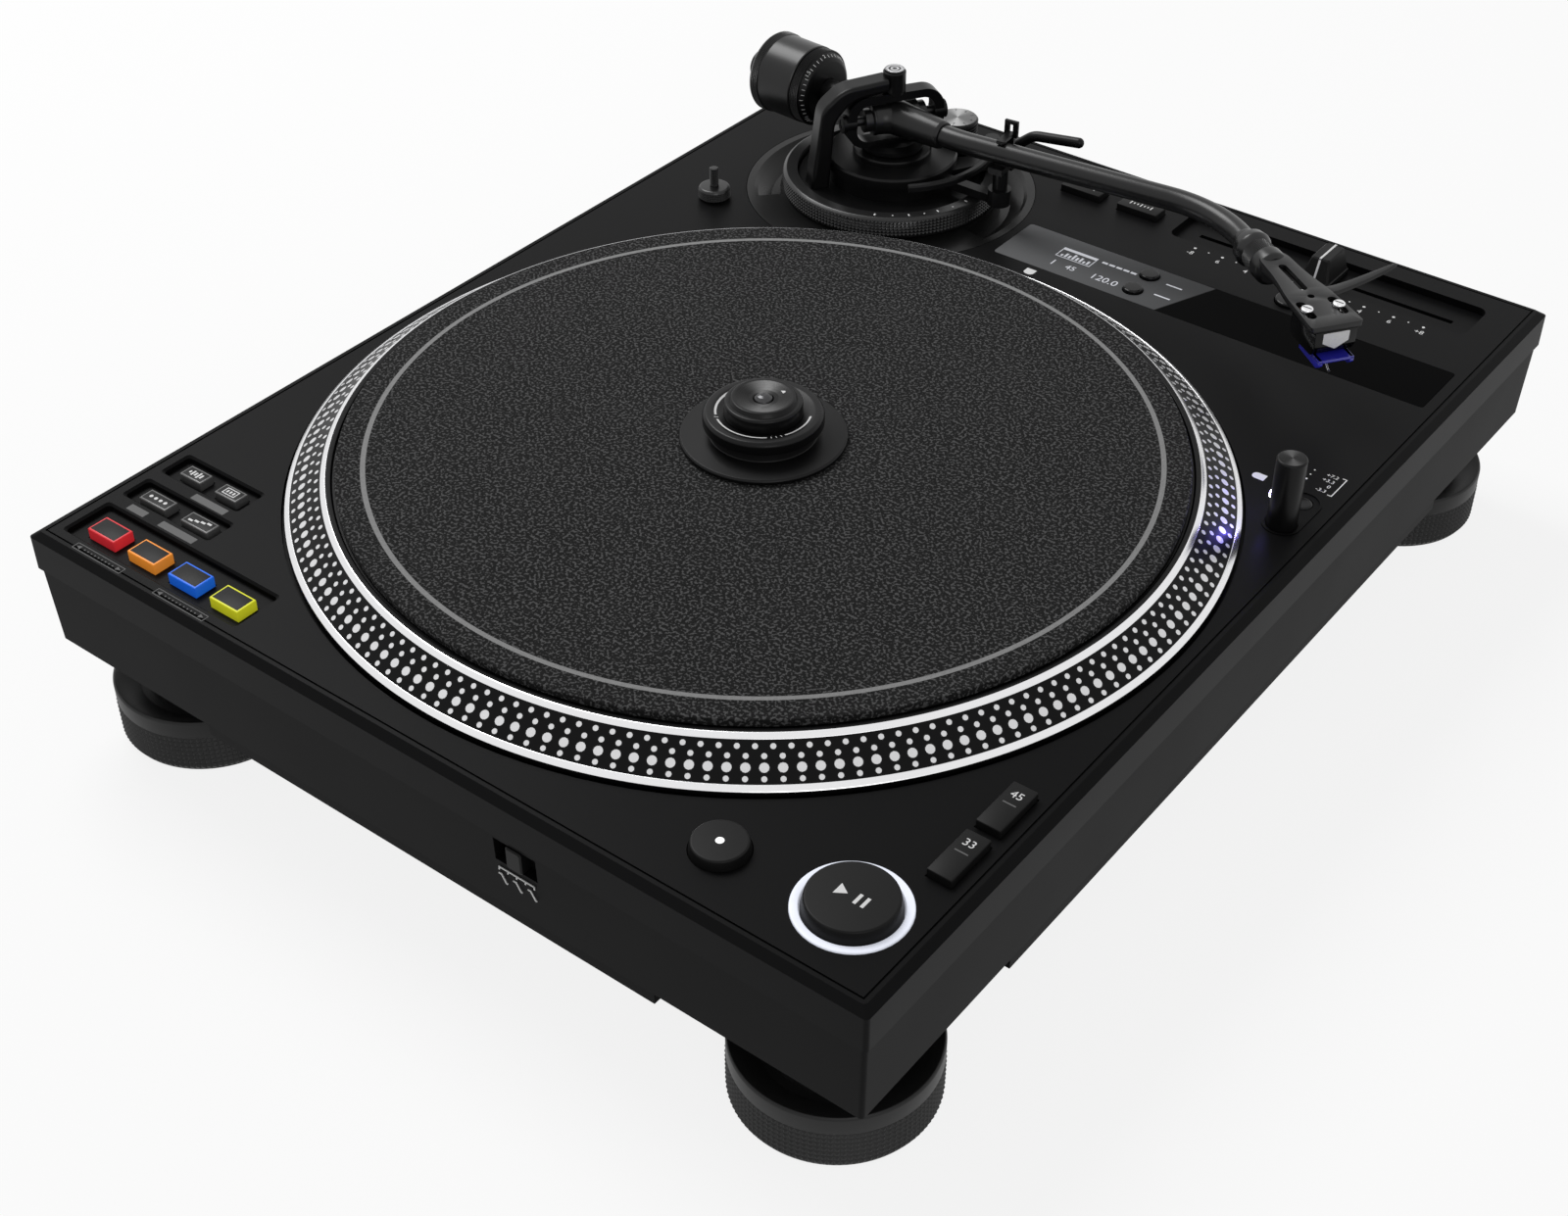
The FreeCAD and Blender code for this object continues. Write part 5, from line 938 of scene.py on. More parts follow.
@dataclass
class RecordClamp:
    """The clamp on the spindle: a flanged body with a printed scale, and its turning dial."""

    y: float = SPINDLE_Y
    bore: float = 3.68
    arc_inner: float = 16.3
    arc_outer: float = 17.1
    scale_inner: float = 13.75
    scale_outer: float = 18.0
    scale_low: float = 111.15
    scale_rise: float = 1.2

    def build(self) -> None:
        """Turn both parts and print the scale."""
        body = Form().lathe([
            (self.bore, 100.95), (29.0, 100.95), (29.6, 101.55, 0.3), (29.6, 102.55, 0.3),
            (29.0, 103.15, 0.2), (18.9, 103.35, 0.4), (18.5, 107.15), (21.3, 107.75, 0.3),
            (21.3, 111.25, 0.5), (20.2, 112.35, 0.4), (self.scale_outer, 112.35, 0.3),
            (self.scale_inner, self.scale_low),
            (8.3, self.scale_low), (8.3, 108.15), (self.bore, 108.15)], 144, at(0, self.y),
            bands=[Band(17.0, 29.7, 102.9, 103.5)])
        self.arcs(body)
        centre = (0, self.y, 0)
        # painted sheen: two faint bright wedges on the flange
        flange = Turned("clamp_flange_metal", (0.006, 0.006, 0.0062), 0.36, specular=0.12, mottle=0.03,
                        relief=0.002, centre=centre, wedge=120, contrast=0.25)
        body.piece("clamp_turned", "record_clamp", [SATIN, flange, PRINT], "dark_plastic",
                   ["clamp_body"])
        # painted sheen: two strong bright wedges on the dial's floor
        dial_top = Turned("dial_floor_metal", (0.07, 0.07, 0.07), 0.28, metallic=0.7, specular=0.2,
                          mottle=0.06, centre=centre, wedge=128, contrast=0.85)
        dial = Form().lathe([
            (self.bore, 108.45), (8.0, 108.45), (8.0, 111.45), (13.75, 111.45), (13.75, 115.95, 0.4),
            (13.15, 116.55, 0.3), (12.0, 116.55), (11.1, 118.05, 0.3), (10.2, 118.05, 0.3),
            (5.18, 117.05, 0.3), (self.bore, 117.05)], 144, at(0, self.y),
            bands=[Band(3.7, 10.1, 116.9, 118.0)])
        pointer = at(*polar(7.9, 62.0, 0, self.y), 117.56, -28)
        dial.prism([[(-0.95, -0.8), (0.95, -0.8), (0, 1.1)]], 0, 0.12, place=pointer, finish=2)
        dial.piece("clamp_dial_turned", "clamp_knob", [SATIN, dial_top, PRINT], "arm_black",
                   ["clamp_dial"])

    def arcs(self, form: Form) -> None:
        """Print white arcs on the sloping scale, with ticks for its steps."""
        slant = self.scale_rise / (self.scale_outer - self.scale_inner)
        for start, end in ((150, 226), (236, 312), (334, 385)):
            part = bmesh.new()
            first = [part.verts.new((radius, 0, self.scale_low + (radius - self.scale_inner) * slant + 0.05))
                     for radius in (self.arc_inner, self.arc_outer)]
            edge = part.edges.new(first)
            bmesh.ops.spin(part, geom=first + [edge], cent=(0, 0, 0), axis=(0, 0, 1),
                           angle=math.radians(end - start), steps=24)
            bmesh.ops.recalc_face_normals(part, faces=part.faces)
            if part.faces[:][0].normal.z < 0:
                bmesh.ops.reverse_faces(part, faces=part.faces)
            form.take(part, at(0, self.y, 0, start), 2, weld=False)
        for angle in (145, 231, 317, 323, 329):
            place = (at(*polar(16.75, angle, 0, self.y), 112.0, angle)
                     @ Matrix.Rotation(-math.atan(slant), 4, "Y"))
            form.block((-0.8, -0.14, -0.1), (0.8, 0.14, 0.06), place=place, finish=2)


# Buttons

LIP = 0.9
LIP_BOTTOM = 80.3
LIP_HEIGHT = 1.5


@dataclass
class RoundButton:
    """A round cap with a softened rim."""

    name: str
    x: float
    y: float
    radius: float
    top_radius: float
    top: float
    body: str
    finish: Finish
    slot: str = "key_black"
    below: float = LIP_BOTTOM

    def build(self) -> Form:
        """Turn the cap and return it unfinished, so that print may be added."""
        lip, lip_top = self.radius + LIP, self.below + LIP_HEIGHT
        return Form().lathe([
            (0, self.below), (lip, self.below), (lip, lip_top), (self.radius, lip_top),
            (self.radius, DECK_TOP), (self.top_radius + 0.3, self.top - 0.3, 0.25),
            (self.top_radius - 0.2, self.top, 0.2), (0, self.top - 0.05)], 96, at(self.x, self.y))

    def close(self, form: Form, *others: Finish) -> None:
        """Finish the cap."""
        form.piece(self.name + "_cap", self.body, [self.finish, *others], self.slot, [self.name])


@dataclass
class Key:
    """A rectangular cap with bevelled top edges."""

    name: str
    x: float
    y: float
    width: float
    depth: float
    rise: float

    @property
    def top(self) -> float:
        """Return the height of the cap's top."""
        return DECK_TOP + self.rise

    def build(self, side: int = 0, top: int = 0) -> Form:
        """Build the cap and its hidden lip; the finish numbers of sides and top may differ."""
        form = Form()
        self.slab(form, LIP, LIP_BOTTOM, LIP_BOTTOM + LIP_HEIGHT, 0.0, side)
        self.slab(form, 0.0, LIP_BOTTOM + 1.0, self.top, 0.4, side)
        if top != side:
            self.slab(form, -0.75, self.top - 0.3, self.top + 0.06, 0.05, top)
        return form

    def slab(self, form: Form, grow: float, low: float, high: float, bevel: float, finish: int) -> None:
        """Add a box whose sides stand out from the cap's own by grow."""
        wide, deep = self.width / 2 + grow, self.depth / 2 + grow
        form.block((self.x - wide, self.y - deep, low), (self.x + wide, self.y + deep, high), bevel,
                   finish=finish)

    def close(self, form: Form, *finishes: Finish, slot: str = "key_black") -> None:
        """Finish the cap."""
        form.piece(self.name + "_cap", self.name + "_body", finishes, slot, [self.name])


@dataclass
class Controls:
    """Every button on the deck, with the lit ring."""

    start: Spot = (149.6, -196.7)
    motor_off: Spot = (106.0, -201.4)
    speed_x: float = 163.3
    tempo_y: float = 197.7
    pad_x: float = -153.3
    pad_y: float = -209.6
    pad_step: float = 20.5

    def build(self) -> None:
        """Build the buttons group by group."""
        self.start_button()
        self.round_buttons()
        self.tempo_keys()
        self.speed_keys()
        self.pads()
        self.mode_keys()

    def start_button(self) -> None:
        """Build the start button and the lit ring round it."""
        x, y = self.start
        ring = Form().lathe([(15.2, 79.0), (19.5, 79.0), (19.5, 81.85), (17.85, 81.85), (17.85, 87.2, 0.2),
                             (17.5, 87.5, 0.2), (15.4, 87.5, 0.2), (15.2, 87.3)], 144, at(x, y))
        ring.piece("start_ring_lit", "plinth", [RING_GLOW], "ring_glow", ["start_light_ring"])
        cap = RoundButton("start_button", x, y, 14.8, 13.6, 91.4, "start_button_body", CAP, below=78.0)
        form = cap.build()
        for side in (-1, 1):
            form.flat([box_outline(1.1, 4.2, x + side * 1.3 + 3.2, y)], cap.top, 1, 0.1, 0.02)
        form.flat([[(x - 5.2, y - 2.3), (x - 1.6, y), (x - 5.2, y + 2.3)]], cap.top, 1, 0.1, 0.02)
        cap.close(form, PRINT)

    def round_buttons(self) -> None:
        """Build the small round buttons."""
        cap = RoundButton("motor_off_button", *self.motor_off, 9.4, 8.5, 90.5, "motor_off_button_body", CAP)
        form = cap.build()
        form.dot(1.35, 0.05, at(*self.motor_off, cap.top - 0.04), 1)
        cap.close(form, DOT_GLOW)
        for name, x, y, radius, top in (("tempo_reset_button", 93.45, 171.0, 6.0, 88.5),
                                        ("display_button_upper", 40.0, 154.3, 4.0, 88.5),
                                        ("display_button_lower", 40.0, 141.0, 4.0, 88.5)):
            cap = RoundButton(name, x, y, radius, radius - 0.5, top, name + "_body", GLOSS)
            cap.close(cap.build())
        cap = RoundButton("lamp_button", 160.0, 52.5, 3.7, 3.3, 87.4, "lamp_button_body", GLOSS)
        cap.close(cap.build())

    def speed_keys(self) -> None:
        """Build the two speed keys with their figures."""
        for figure, y in (("33", -163.8), ("45", -138.8)):
            key = Key("speed_button_" + figure, self.speed_x, y, 8.6, 20.6, 3.0)
            form = key.build()
            form.figures(figure, 4.3, at(self.speed_x, y + 5.2, key.top), 1)
            form.flat([box_outline(4.6, 0.5, self.speed_x, y + 1.0)], key.top, 2, 0.05)
            key.close(form, CAP, PRINT, GREY_PRINT)

    def tempo_keys(self) -> None:
        """Build the two keys beside the fader with a row of ticks each."""
        for name, x in (("tempo_range_button", 10.3), ("function_button", -17.0)):
            key = Key(name, x, self.tempo_y, 18.6, 8.6, 3.0)
            form = key.build()
            for step in range(-3, 4):
                tall = 2.4 if step % 3 == 0 else 1.3
                form.flat([box_outline(0.5, tall, x + step * 1.6, self.tempo_y)], key.top, 1, 0.05)
            key.close(form, CAP, PRINT)

    def pads(self) -> None:
        """Build the four lit pads: coloured sides and rims round black tops."""
        colours = (("red", (0.62, 0.025, 0.035)), ("orange", (0.82, 0.27, 0.03)),
                   ("blue", (0.012, 0.13, 0.72)), ("yellow", (0.62, 0.63, 0.02)))
        for number, (word, colour) in enumerate(colours):
            x = self.pad_x + self.pad_step * number
            key = Key("pad_%d" % (number + 1), x, self.pad_y, 13.6, 8.4, 1.3)
            lit = Glow("pad_%s_lit" % word, colour, 0.4, specular=0.3, strength=0.35)
            key.close(key.build(0, 1), lit, CAP, slot="pad_" + word)

    def mode_keys(self) -> None:
        """Build the four mode keys with plain signs: bars, a frame, dots and steps."""
        places = ((-155.9, -169.6, 10.8), (-137.8, -169.6, 10.8), (-154.6, -187.7, 13.4),
                  (-133.1, -187.7, 13.4))
        for number, (x, y, width) in enumerate(places):
            key = Key("mode_button_%d" % (number + 1), x, y, width, 6.0, 0.6)
            form = key.build(0, 1)
            self.sign(form, number, x, y, key.top)
            key.close(form, KEY_EDGE, CAP, PRINT)

    @staticmethod
    def sign(form: Form, number: int, x: float, y: float, top: float) -> None:
        """Print one of the four plain signs."""
        def stroke(width: float, depth: float, dx: float, dy: float) -> None:
            form.flat([box_outline(width, depth, x + dx, y + dy)], top, 2, 0.0, 0.1)

        if number == 0:
            for step, tall in enumerate((1.2, 2.6, 1.8, 3.2, 2.0)):
                stroke(0.8, tall, -2.8 + 1.4 * step, 0)
        elif number == 1:
            outer, inner = box_outline(6.0, 3.4, x, y), box_outline(5.2, 2.6, x, y)
            form.flat([outer, inner], top, 2, 0.0, 0.1)
            for step in (-1, 0, 1):
                stroke(0.8, 1.4, 1.5 * step, 0)
        elif number == 2:
            for step in range(4):
                form.dot(0.75, 0.1, at(x - 3.6 + 2.4 * step, y, top), 2, 16)
        else:
            for step in range(4):
                stroke(2.0, 0.9, -3.6 + 2.4 * step, -1.0 + 0.7 * step)


# Lamp, fader, weight


@dataclass
class TargetLamp:
    """The pop-up lamp and its violet window."""

    x: float = 160.0
    y: float = 37.6
    top: float = 114.4
    radius: float = 5.3
    window_height: float = 98.0

    def build(self) -> None:
        """Turn the lamp, with a turned top and a lit window that faces the platter."""
        # painted sheen: two strong bright wedges on the lamp's turned top
        crown = Turned("lamp_crown", (0.05, 0.05, 0.05), 0.25, metallic=0.85, mottle=0.05, relief=0.004,
                       centre=(self.x, self.y, 0), wedge=128, contrast=0.8)
        form = Form().lathe([
            (0, 79.8), (6.4, 79.8), (6.4, 81.8), (self.radius, 81.8), (self.radius, self.top - 0.5, 0.2),
            (self.radius - 0.5, self.top, 0.2), (0, self.top)], 96, at(self.x, self.y),
            bands=[Band(0, 4.6, self.top - 0.1, self.top + 0.1)])
        window = lying(180, self.x - self.radius + 0.25, self.y, self.window_height)
        form.lathe([(0, 0), (1.9, 0), (1.9, 0.34, 0.1), (1.6, 0.44), (0, 0.44)], 40, window, 2)
        form.piece("lamp_turned", "lamp", [SATIN, crown, LAMP_GLOW], "arm_black", ["target_lamp"])


@dataclass
class TempoFader:
    """The fader cap with its white line."""

    x: float = 93.45
    y: float = 200.0
    half_depth: float = 9.5
    line: float = 0.45

    def section(self, half: float, front: float, back: float, height: float, cut: float) -> list[Point]:
        """Return a level rectangle with cut corners."""
        left, right = self.x - half, self.x + half
        return [(left + cut, front, height), (right - cut, front, height), (right, front + cut, height),
                (right, back - cut, height), (right - cut, back, height), (left + cut, back, height),
                (left, back - cut, height), (left, front + cut, height)]

    def build(self) -> None:
        """Loft the cap, add the stem under it and print the line."""
        front, back = self.y - self.half_depth, self.y + self.half_depth
        form = Form().loft([
            self.section(6.2, front + 0.4, back - 0.4, 84.3, 0.6),
            self.section(6.5, front, back, 84.6, 0.8),
            self.section(6.5, front, back, 86.5, 0.8),
            self.section(6.1, front + 0.5, back - 0.2, 86.9, 0.8),
            self.section(4.0, front + 3.7, back - 1.4, 94.9, 0.7),
            self.section(3.5, front + 4.3, back - 1.8, 95.45, 0.6)])
        form.block((self.x - 4.0, self.y - 0.9, 78.0), (self.x + 4.0, self.y + 0.9, 84.4))
        form.block((self.x - self.line, front + 3.9, 94.9), (self.x + self.line, back - 1.4, 95.55), 0.06,
                   finish=1)
        slope = at(self.x, front + 0.55, 86.95) @ Matrix.Rotation(math.atan2(8.0, 3.2), 4, "X")
        form.block((-self.line, 0.0, -0.12), (self.line, 8.5, 0.1), 0.04, slope, finish=1)
        form.piece("fader_cap_lofted", "fader", [CAP, PRINT], "cap_rubber", ["fader_cap"], sharp=25)


@dataclass
class SpareWeight:
    """The small auxiliary weight with its threaded pin."""

    x: float = -139.0
    y: float = 99.4
    thread: float = 1.9
    root: float = 1.65

    def build(self) -> None:
        """Turn the weight, its grip and the thread's rings."""
        pin = [(self.thread, 92.35)]
        for step in range(9):
            height = 93.0 + 0.8 * step
            pin += [(self.thread, height), (self.root, height + 0.2), (self.root, height + 0.4),
                    (self.thread, height + 0.6)]
        form = Form().lathe([
            (0, 82.5), (1.8, 82.5), (1.8, 87.15), (6.2, 87.15), (6.6, 87.6), (6.6, 91.4),
            (6.4, 91.9, 0.2), (5.8, 92.35, 0.3), *pin, (self.thread, 100.3), (1.5, 100.65),
            (0, 100.65)], 64, at(self.x, self.y), knurls=[Knurl(87.6, 91.4, 5, 0.35)])
        form.piece("spare_weight_turned", "spare_weight", [KNURL], "arm_black", ["auxiliary_weight"])


# Tonearm


@dataclass
class ArmSeat:
    """What carries the arm: height ring, base, arch, anti-skate dial, rest, lever and lifter."""

    x: float = PIVOT_X
    y: float = PIVOT_Y
    ring_top: float = 96.1
    ring_bore: float = 39.8
    marks_radius: float = 42.2

    def build(self, nodes: dict[str, bpy.types.Object]) -> None:
        """Dress the solids that stay and turn the others finer."""
        dress(nodes, SATIN, "tonearm_base", "bearing_arch", "arm_lifter", "arm_rest_clip", "cue_lever")
        self.ring()
        self.base_marks()
        self.arch_cap()
        self.skate_dial()

    def ring(self) -> None:
        """Turn the knurled height ring and print its marks."""
        form = Form().lathe([
            (self.ring_bore, 87.3), (45.2, 87.3), (45.5, 88.1), (45.5, 95.0), (45.6, 95.2, 0.1),
            (44.3, self.ring_top, 0.2), (self.ring_bore, self.ring_top)], 176, at(self.x, self.y),
            knurls=[Knurl(88.1, 95.0, 5, 0.55)])
        for angle in (-64, -45, -28, -8, 12):
            place = at(*polar(self.marks_radius, angle, self.x, self.y), self.ring_top, angle)
            form.block((-0.75, -0.3, -0.05), (0.75, 0.3, 0.04), place=place, finish=1)
        for angle in (-54, -36, -18, 2):
            place = at(*polar(self.marks_radius, angle, self.x, self.y), self.ring_top)
            form.dot(0.35, 0.04, place, 1, 12)
        form.piece("height_ring_knurled", "height_adjuster", [KNURL, PRINT], "arm_black", ["height_ring"])

    def base_marks(self) -> None:
        """Print a row of small ticks on the base disc."""
        form = Form()
        for angle in range(-70, 11, 10):
            place = at(*polar(37.6, angle, self.x, self.y), 93.5, angle)
            form.block((-0.7, -0.16, -0.05), (0.9, 0.16, 0.03), place=place)
        form.piece("base_marks", "arm_support", [GREY_PRINT], "ring_glow")

    def arch_cap(self) -> None:
        """Set the ringed screw cap on the arch."""
        form = Form().lathe([
            (0, 140.75), (0.9, 140.75), (1.1, 140.95), (1.7, 140.95), (1.9, 140.75), (2.5, 140.75),
            (2.7, 140.98), (3.3, 140.98), (3.5, 140.8), (4.0, 140.8), (4.0, 140.5), (0, 140.5)],
            64, at(self.x, self.y))
        form.piece("arch_cap_rings", "arm_support", [STEEL], "bright_steel")

    def skate_dial(self) -> None:
        """Turn the anti-skate dial and print its figures."""
        centre = (self.x + 12.5, self.y + 30.0)
        high = 111.0
        # painted sheen: two bright wedges on the dial's turned top
        top = Turned("skate_dial_metal", (0.3, 0.3, 0.3), 0.25, metallic=0.95, mottle=0.06, relief=0.004,
                     centre=(*centre, 0), wedge=118, contrast=0.55)
        form = Form().lathe([
            (0, 100.6), (8.0, 100.6), (8.3, 101.1), (8.55, 101.4), (8.55, 109.6), (8.9, 109.8, 0.1),
            (8.9, 110.2, 0.2), (8.2, high, 0.2), (0, high)], 72, at(*centre),
            knurls=[Knurl(101.4, 109.6, 6, 0.35)], bands=[Band(0, 8.15, high - 0.1, high + 0.1)])
        for number in range(8):
            angle = -150 + 40 * number
            form.figures(str(number), 2.0, at(*polar(6.3, angle, *centre), high, angle - 90), 2)
            form.block((-0.3, -0.08, -0.02), (0.3, 0.08, 0.03),
                       place=at(*polar(7.8, angle, *centre), high, angle), finish=2)
        form.piece("skate_dial_turned", "skate_dial", [SATIN, top, GLOSS], "dial_aluminium",
                   ["anti_skate_dial"])


@dataclass
class Arm:
    """The swinging arm: gimbal, elbow, S-shaped tube, weight, coupling, head and cartridge."""

    x: float = PIVOT_X
    y: float = PIVOT_Y
    axis: float = 119.5
    root: float = -4.0
    middle: float = 6.5
    head: float = -35.0
    first: float = 34.4
    second: float = 113.0
    first_bend: float = 80.0
    second_bend: float = 52.0
    tube_start: float = 27.15
    tube_end: float = 26.0
    gimbal: float = 57.0
    keel_side: float = 5.0
    neck: float = 32.5
    screw: float = 6.35
    tube_radius: float = 4.6
    shaft_bore: float = 5.3

    def corners(self) -> tuple[Spot, Spot]:
        """Return the arm's two corners."""
        first = polar(self.first, self.root, self.x, self.y)
        return first, polar(self.second, self.middle, *first)

    def on_head(self) -> Matrix:
        """Return the head's own frame: along +X from the second corner, heights from the deck."""
        return at(*self.corners()[1], DECK_TOP, self.head)

    def build(self, nodes: dict[str, bpy.types.Object]) -> None:
        """Build the arm from the back forwards."""
        dress(nodes, SATIN, "gimbal_ring")
        self.weight()
        self.elbow()
        self.tube()
        self.coupling()
        self.headshell()
        self.cartridge()
        self.stylus()

    def weight(self) -> None:
        """Turn the counterweight and its scale ring with figures."""
        place = lying(self.root + 180, self.x, self.y, self.axis)
        form = Form().lathe([
            (self.shaft_bore, 44.0), (16.2, 44.0), (16.6, 44.4), (16.6, 61.0), (16.7, 61.1), (16.8, 61.4),
            (16.8, 65.2), (16.4, 66.0, 0.3), (7.2, 66.0, 0.4), (6.6, 66.4), (6.6, 74.4, 0.3),
            (6.0, 75.0, 0.2), (self.shaft_bore, 75.0)], 150, place, knurls=[Knurl(61.4, 65.2, 4, 0.4)])
        form.piece("weight_turned", "balance_weight", [ARM], "arm_black", ["counterweight"])
        ring = Form().lathe([
            (self.shaft_bore, 36.0), (12.4, 36.0, 0.3), (13.8, 36.8, 0.3), (15.4, 39.2), (16.0, 39.25),
            (16.0, 43.6), (15.6, 43.7), (self.shaft_bore, 43.7)], 150, place,
            knurls=[Knurl(39.25, 43.6, 5, 0.4)])
        slope = at(14.62, 0, 38.0) @ Matrix.Rotation(math.atan2(1.6, 2.4), 4, "Y") @ FACING_X
        labels = ("0", "0.5", "1", "1.5", "2", "2.5", "3", "3.5")
        ticks = 5 * len(labels)
        for number in range(ticks):
            face = place @ Matrix.Rotation(math.tau * number / ticks, 4, "Z") @ slope
            if number % 5 == 0:
                ring.figures(labels[number // 5], 2.3, face @ at(0, 0.1, 0.02), 1)
            else:
                ring.block((-0.12, -1.0, -0.05), (0.12, 0.4, 0.05), place=face, finish=1)
        ring.piece("scale_ring_printed", "balance_scale", [SATIN, PRINT], "arm_black", ["scale_ring"])

    def elbow(self) -> None:
        """Build the elbow at the pivot: cross stubs, a swept bend into the front cone, and the rear shaft."""
        form = Form().lathe([
            (0, -22.7), (2.0, -22.7), (2.0, -13.5), (4.9, -13.5, 0.2), (4.9, -10.5), (6.3, -9.9, 0.2),
            (6.3, 9.9, 0.2), (4.9, 10.5), (4.9, 13.5, 0.2), (2.0, 13.5), (2.0, 22.7), (0, 22.7)], 64,
            lying(self.gimbal, self.x, self.y, self.axis))
        form.lathe([(0, 0), (7.4, 0), (7.2, 6.0), (5.95, 25.6, 0.3), (5.4, 27.0, 0.2), (0, 27.0)], 64,
                   lying(self.root, self.x, self.y, self.axis))
        form.lathe([(0, 0), (5.0, 0), (5.0, 69.5, 0.2), (4.5, 70.0), (0, 70.0)], 48,
                   lying(self.root + 180, self.x, self.y, self.axis))
        start = polar(-9.2, self.gimbal, self.x, self.y)
        form.pipe(6.6, (*start, self.axis), self.gimbal,
                  [(1.6, self.root - self.gimbal, 13.0), (2.0, 0, 0)])
        ball = bmesh.new()
        bmesh.ops.create_icosphere(ball, subdivisions=4, radius=7.55)
        form.take(ball, at(self.x, self.y, self.axis))
        form.piece("arm_elbow", "arm", [ARM], "arm_black", ["arm_root"])

    def tube(self) -> None:
        """Sweep the tube through its two bends and turn the socket at its end."""
        _, second = self.corners()
        one, two = self.middle - self.root, self.head - self.middle
        cut_one = self.first_bend * math.tan(math.radians(abs(one)) / 2)
        cut_two = self.second_bend * math.tan(math.radians(abs(two)) / 2)
        start = polar(self.tube_start, self.root, self.x, self.y)
        form = Form().pipe(self.tube_radius, (*start, self.axis), self.root, [
            (self.first - self.tube_start - cut_one, one, self.first_bend),
            (self.second - cut_one - cut_two, two, self.second_bend),
            (self.tube_end - cut_two, 0, 0)], sides=48)
        form.lathe([(4.05, 38.0), (4.05, 30.7), (0, 30.7), (0, 23.0), (self.tube_radius, 23.0), (5.4, 26.0),
                    (5.4, 38.0)], 64, lying(self.head, *second, self.axis))
        form.piece("arm_tube_swept", "arm", [ARM], "arm_black", ["arm_tube"])

    def coupling(self) -> None:
        """Turn the locking ring with its knurled grip."""
        form = Form().lathe([
            (5.7, 26.8), (6.0, 26.8), (6.8, 27.4, 0.3), (7.4, 31.2, 0.5), (6.9, 32.4, 0.3), (6.25, 33.6),
            (5.95, 33.9), (5.95, 40.2), (5.7, 40.4)], 56, lying(self.head, *self.corners()[1], self.axis),
            knurls=[Knurl(33.9, 40.2, 6, 0.4)])
        form.piece("locking_ring_knurled", "head_lock", [KNURL], "head_black", ["locking_ring"])

    def headshell(self) -> None:
        """Cut the plate of the head with its slots, and add neck, keel, plug and the horn-like lift."""
        def slot(low: float, high: float, width: float, across: float = 0.0) -> list[Point]:
            return bar(low, high, across - width / 2, across + width / 2, width / 2 - 0.01)

        half = [(44.0, 4.8, 0.8), (47.0, 5.8, 1.5), (60.0, 6.4, 6.0), (73.0, 8.8, 3.0), (90.5, 10.0),
                (96.0, 10.2, 1.0)]
        edge = half + [(along, -across, *rest) for along, across, *rest in reversed(half)]
        slots = [slot(52.0, 71.0, 3.2), slot(78.0, 90.0, 3.6, self.screw),
                 slot(78.0, 90.0, 3.6, -self.screw), slot(74.3, 76.9, 2.6)]
        form = Form().prism([edge, *slots], 35.2, 37.5, 0.25)
        level = lying(0, 0, 0, self.neck)
        form.lathe([(0, 40.8), (6.4, 40.8), (6.8, 41.2, 0.2), (6.8, 46.5, 0.8), (5.3, 48.0), (0, 48.0)],
                   64, level)
        form.lathe([(0, 31.0), (4.0, 31.0), (4.0, 41.8), (0, 41.8)], 40, level)
        keel = [(47.0, 35.7), (47.0, 28.2, 0.8), (50.0, 30.2, 1.0), (60.0, 35.7)]
        form.prism([keel], -1.2, 1.2, 0.3, UPRIGHT)
        for across in (-self.keel_side, self.keel_side):
            form.block((46.0, across - 0.7, 33.6), (62.0, across + 0.7, 35.8), 0.4)
        sections = []
        for across, height, width, thick in (
                (5.8, 36.0, 5.4, 2.0), (12.0, 36.1, 4.9, 1.6), (19.0, 37.2, 4.3, 1.4), (26.0, 38.7, 3.8, 1.3),
                (32.0, 40.2, 3.0, 1.2), (36.0, 41.4, 2.0, 1.0), (36.8, 41.7, 1.0, 0.6)):
            along = 72.5 - (across - 5.8) * 0.06
            low, high = height - thick / 2, height + thick / 2
            left, right, cut = along - width / 2, along + width / 2, 0.4
            sections.append([(left, across, low), (right, across, low), (right - cut, across, high),
                             (left + cut, across, high)])
        form.loft(sections, bevel=0.25)
        form.piece("headshell_cut", "head", [ARM], "head_black", ["headshell"], self.on_head())

    def cartridge(self) -> None:
        """Build the body with its screws, pins, lead wires and white shield."""
        outline = [(78.0, 35.05, 0.4), (78.0, 27.0, 0.4), (80.0, 25.05, 0.6), (94.0, 25.05, 0.6),
                   (96.0, 28.5, 0.6), (96.0, 35.05, 0.4)]
        form = Form().prism([outline], -8.3, 8.3, 0.35, UPRIGHT)
        for across in (-self.screw, self.screw):
            place = at(84.5, across)
            form.lathe([(0, 33.0), (1.25, 33.0), (1.25, 37.65), (2.3, 37.65), (2.3, 38.5, 0.2),
                        (2.0, 39.0, 0.3), (0, 39.0)], 40, place, 1)
            form.block((-1.7, -0.25, 38.9), (1.7, 0.25, 39.03), place=place @ at(azimuth=35), finish=2)
        for across, height in ((-3.0, 28.05), (3.0, 28.05), (-3.0, 31.55), (3.0, 31.55)):
            level = lying(0, 73.0, across, height)
            form.lathe([(0, 0), (0.6, 0), (0.6, 6.0), (0, 6.0)], 16, level, 3)
            form.lathe([(0, -2.2), (0.45, -2.0), (0.95, -1.4), (0.95, 2.6), (0, 2.6)], 16, level, 4)
        shield = [(-5.2, 34.4, 0.3), (-5.2, 30.4, 0.3), (0, 27.6, 0.4), (5.2, 30.4, 0.3), (5.2, 34.4, 0.3)]
        form.prism([shield], -0.1, 0.22, 0.06, at(96.0) @ FACING_X, 5)
        form.piece("cartridge_body", "head", [GLOSS, BRIGHT, GLOSS, BRASS, COPPER, SHIELD], "dark_plastic",
                   ["cartridge"], self.on_head())

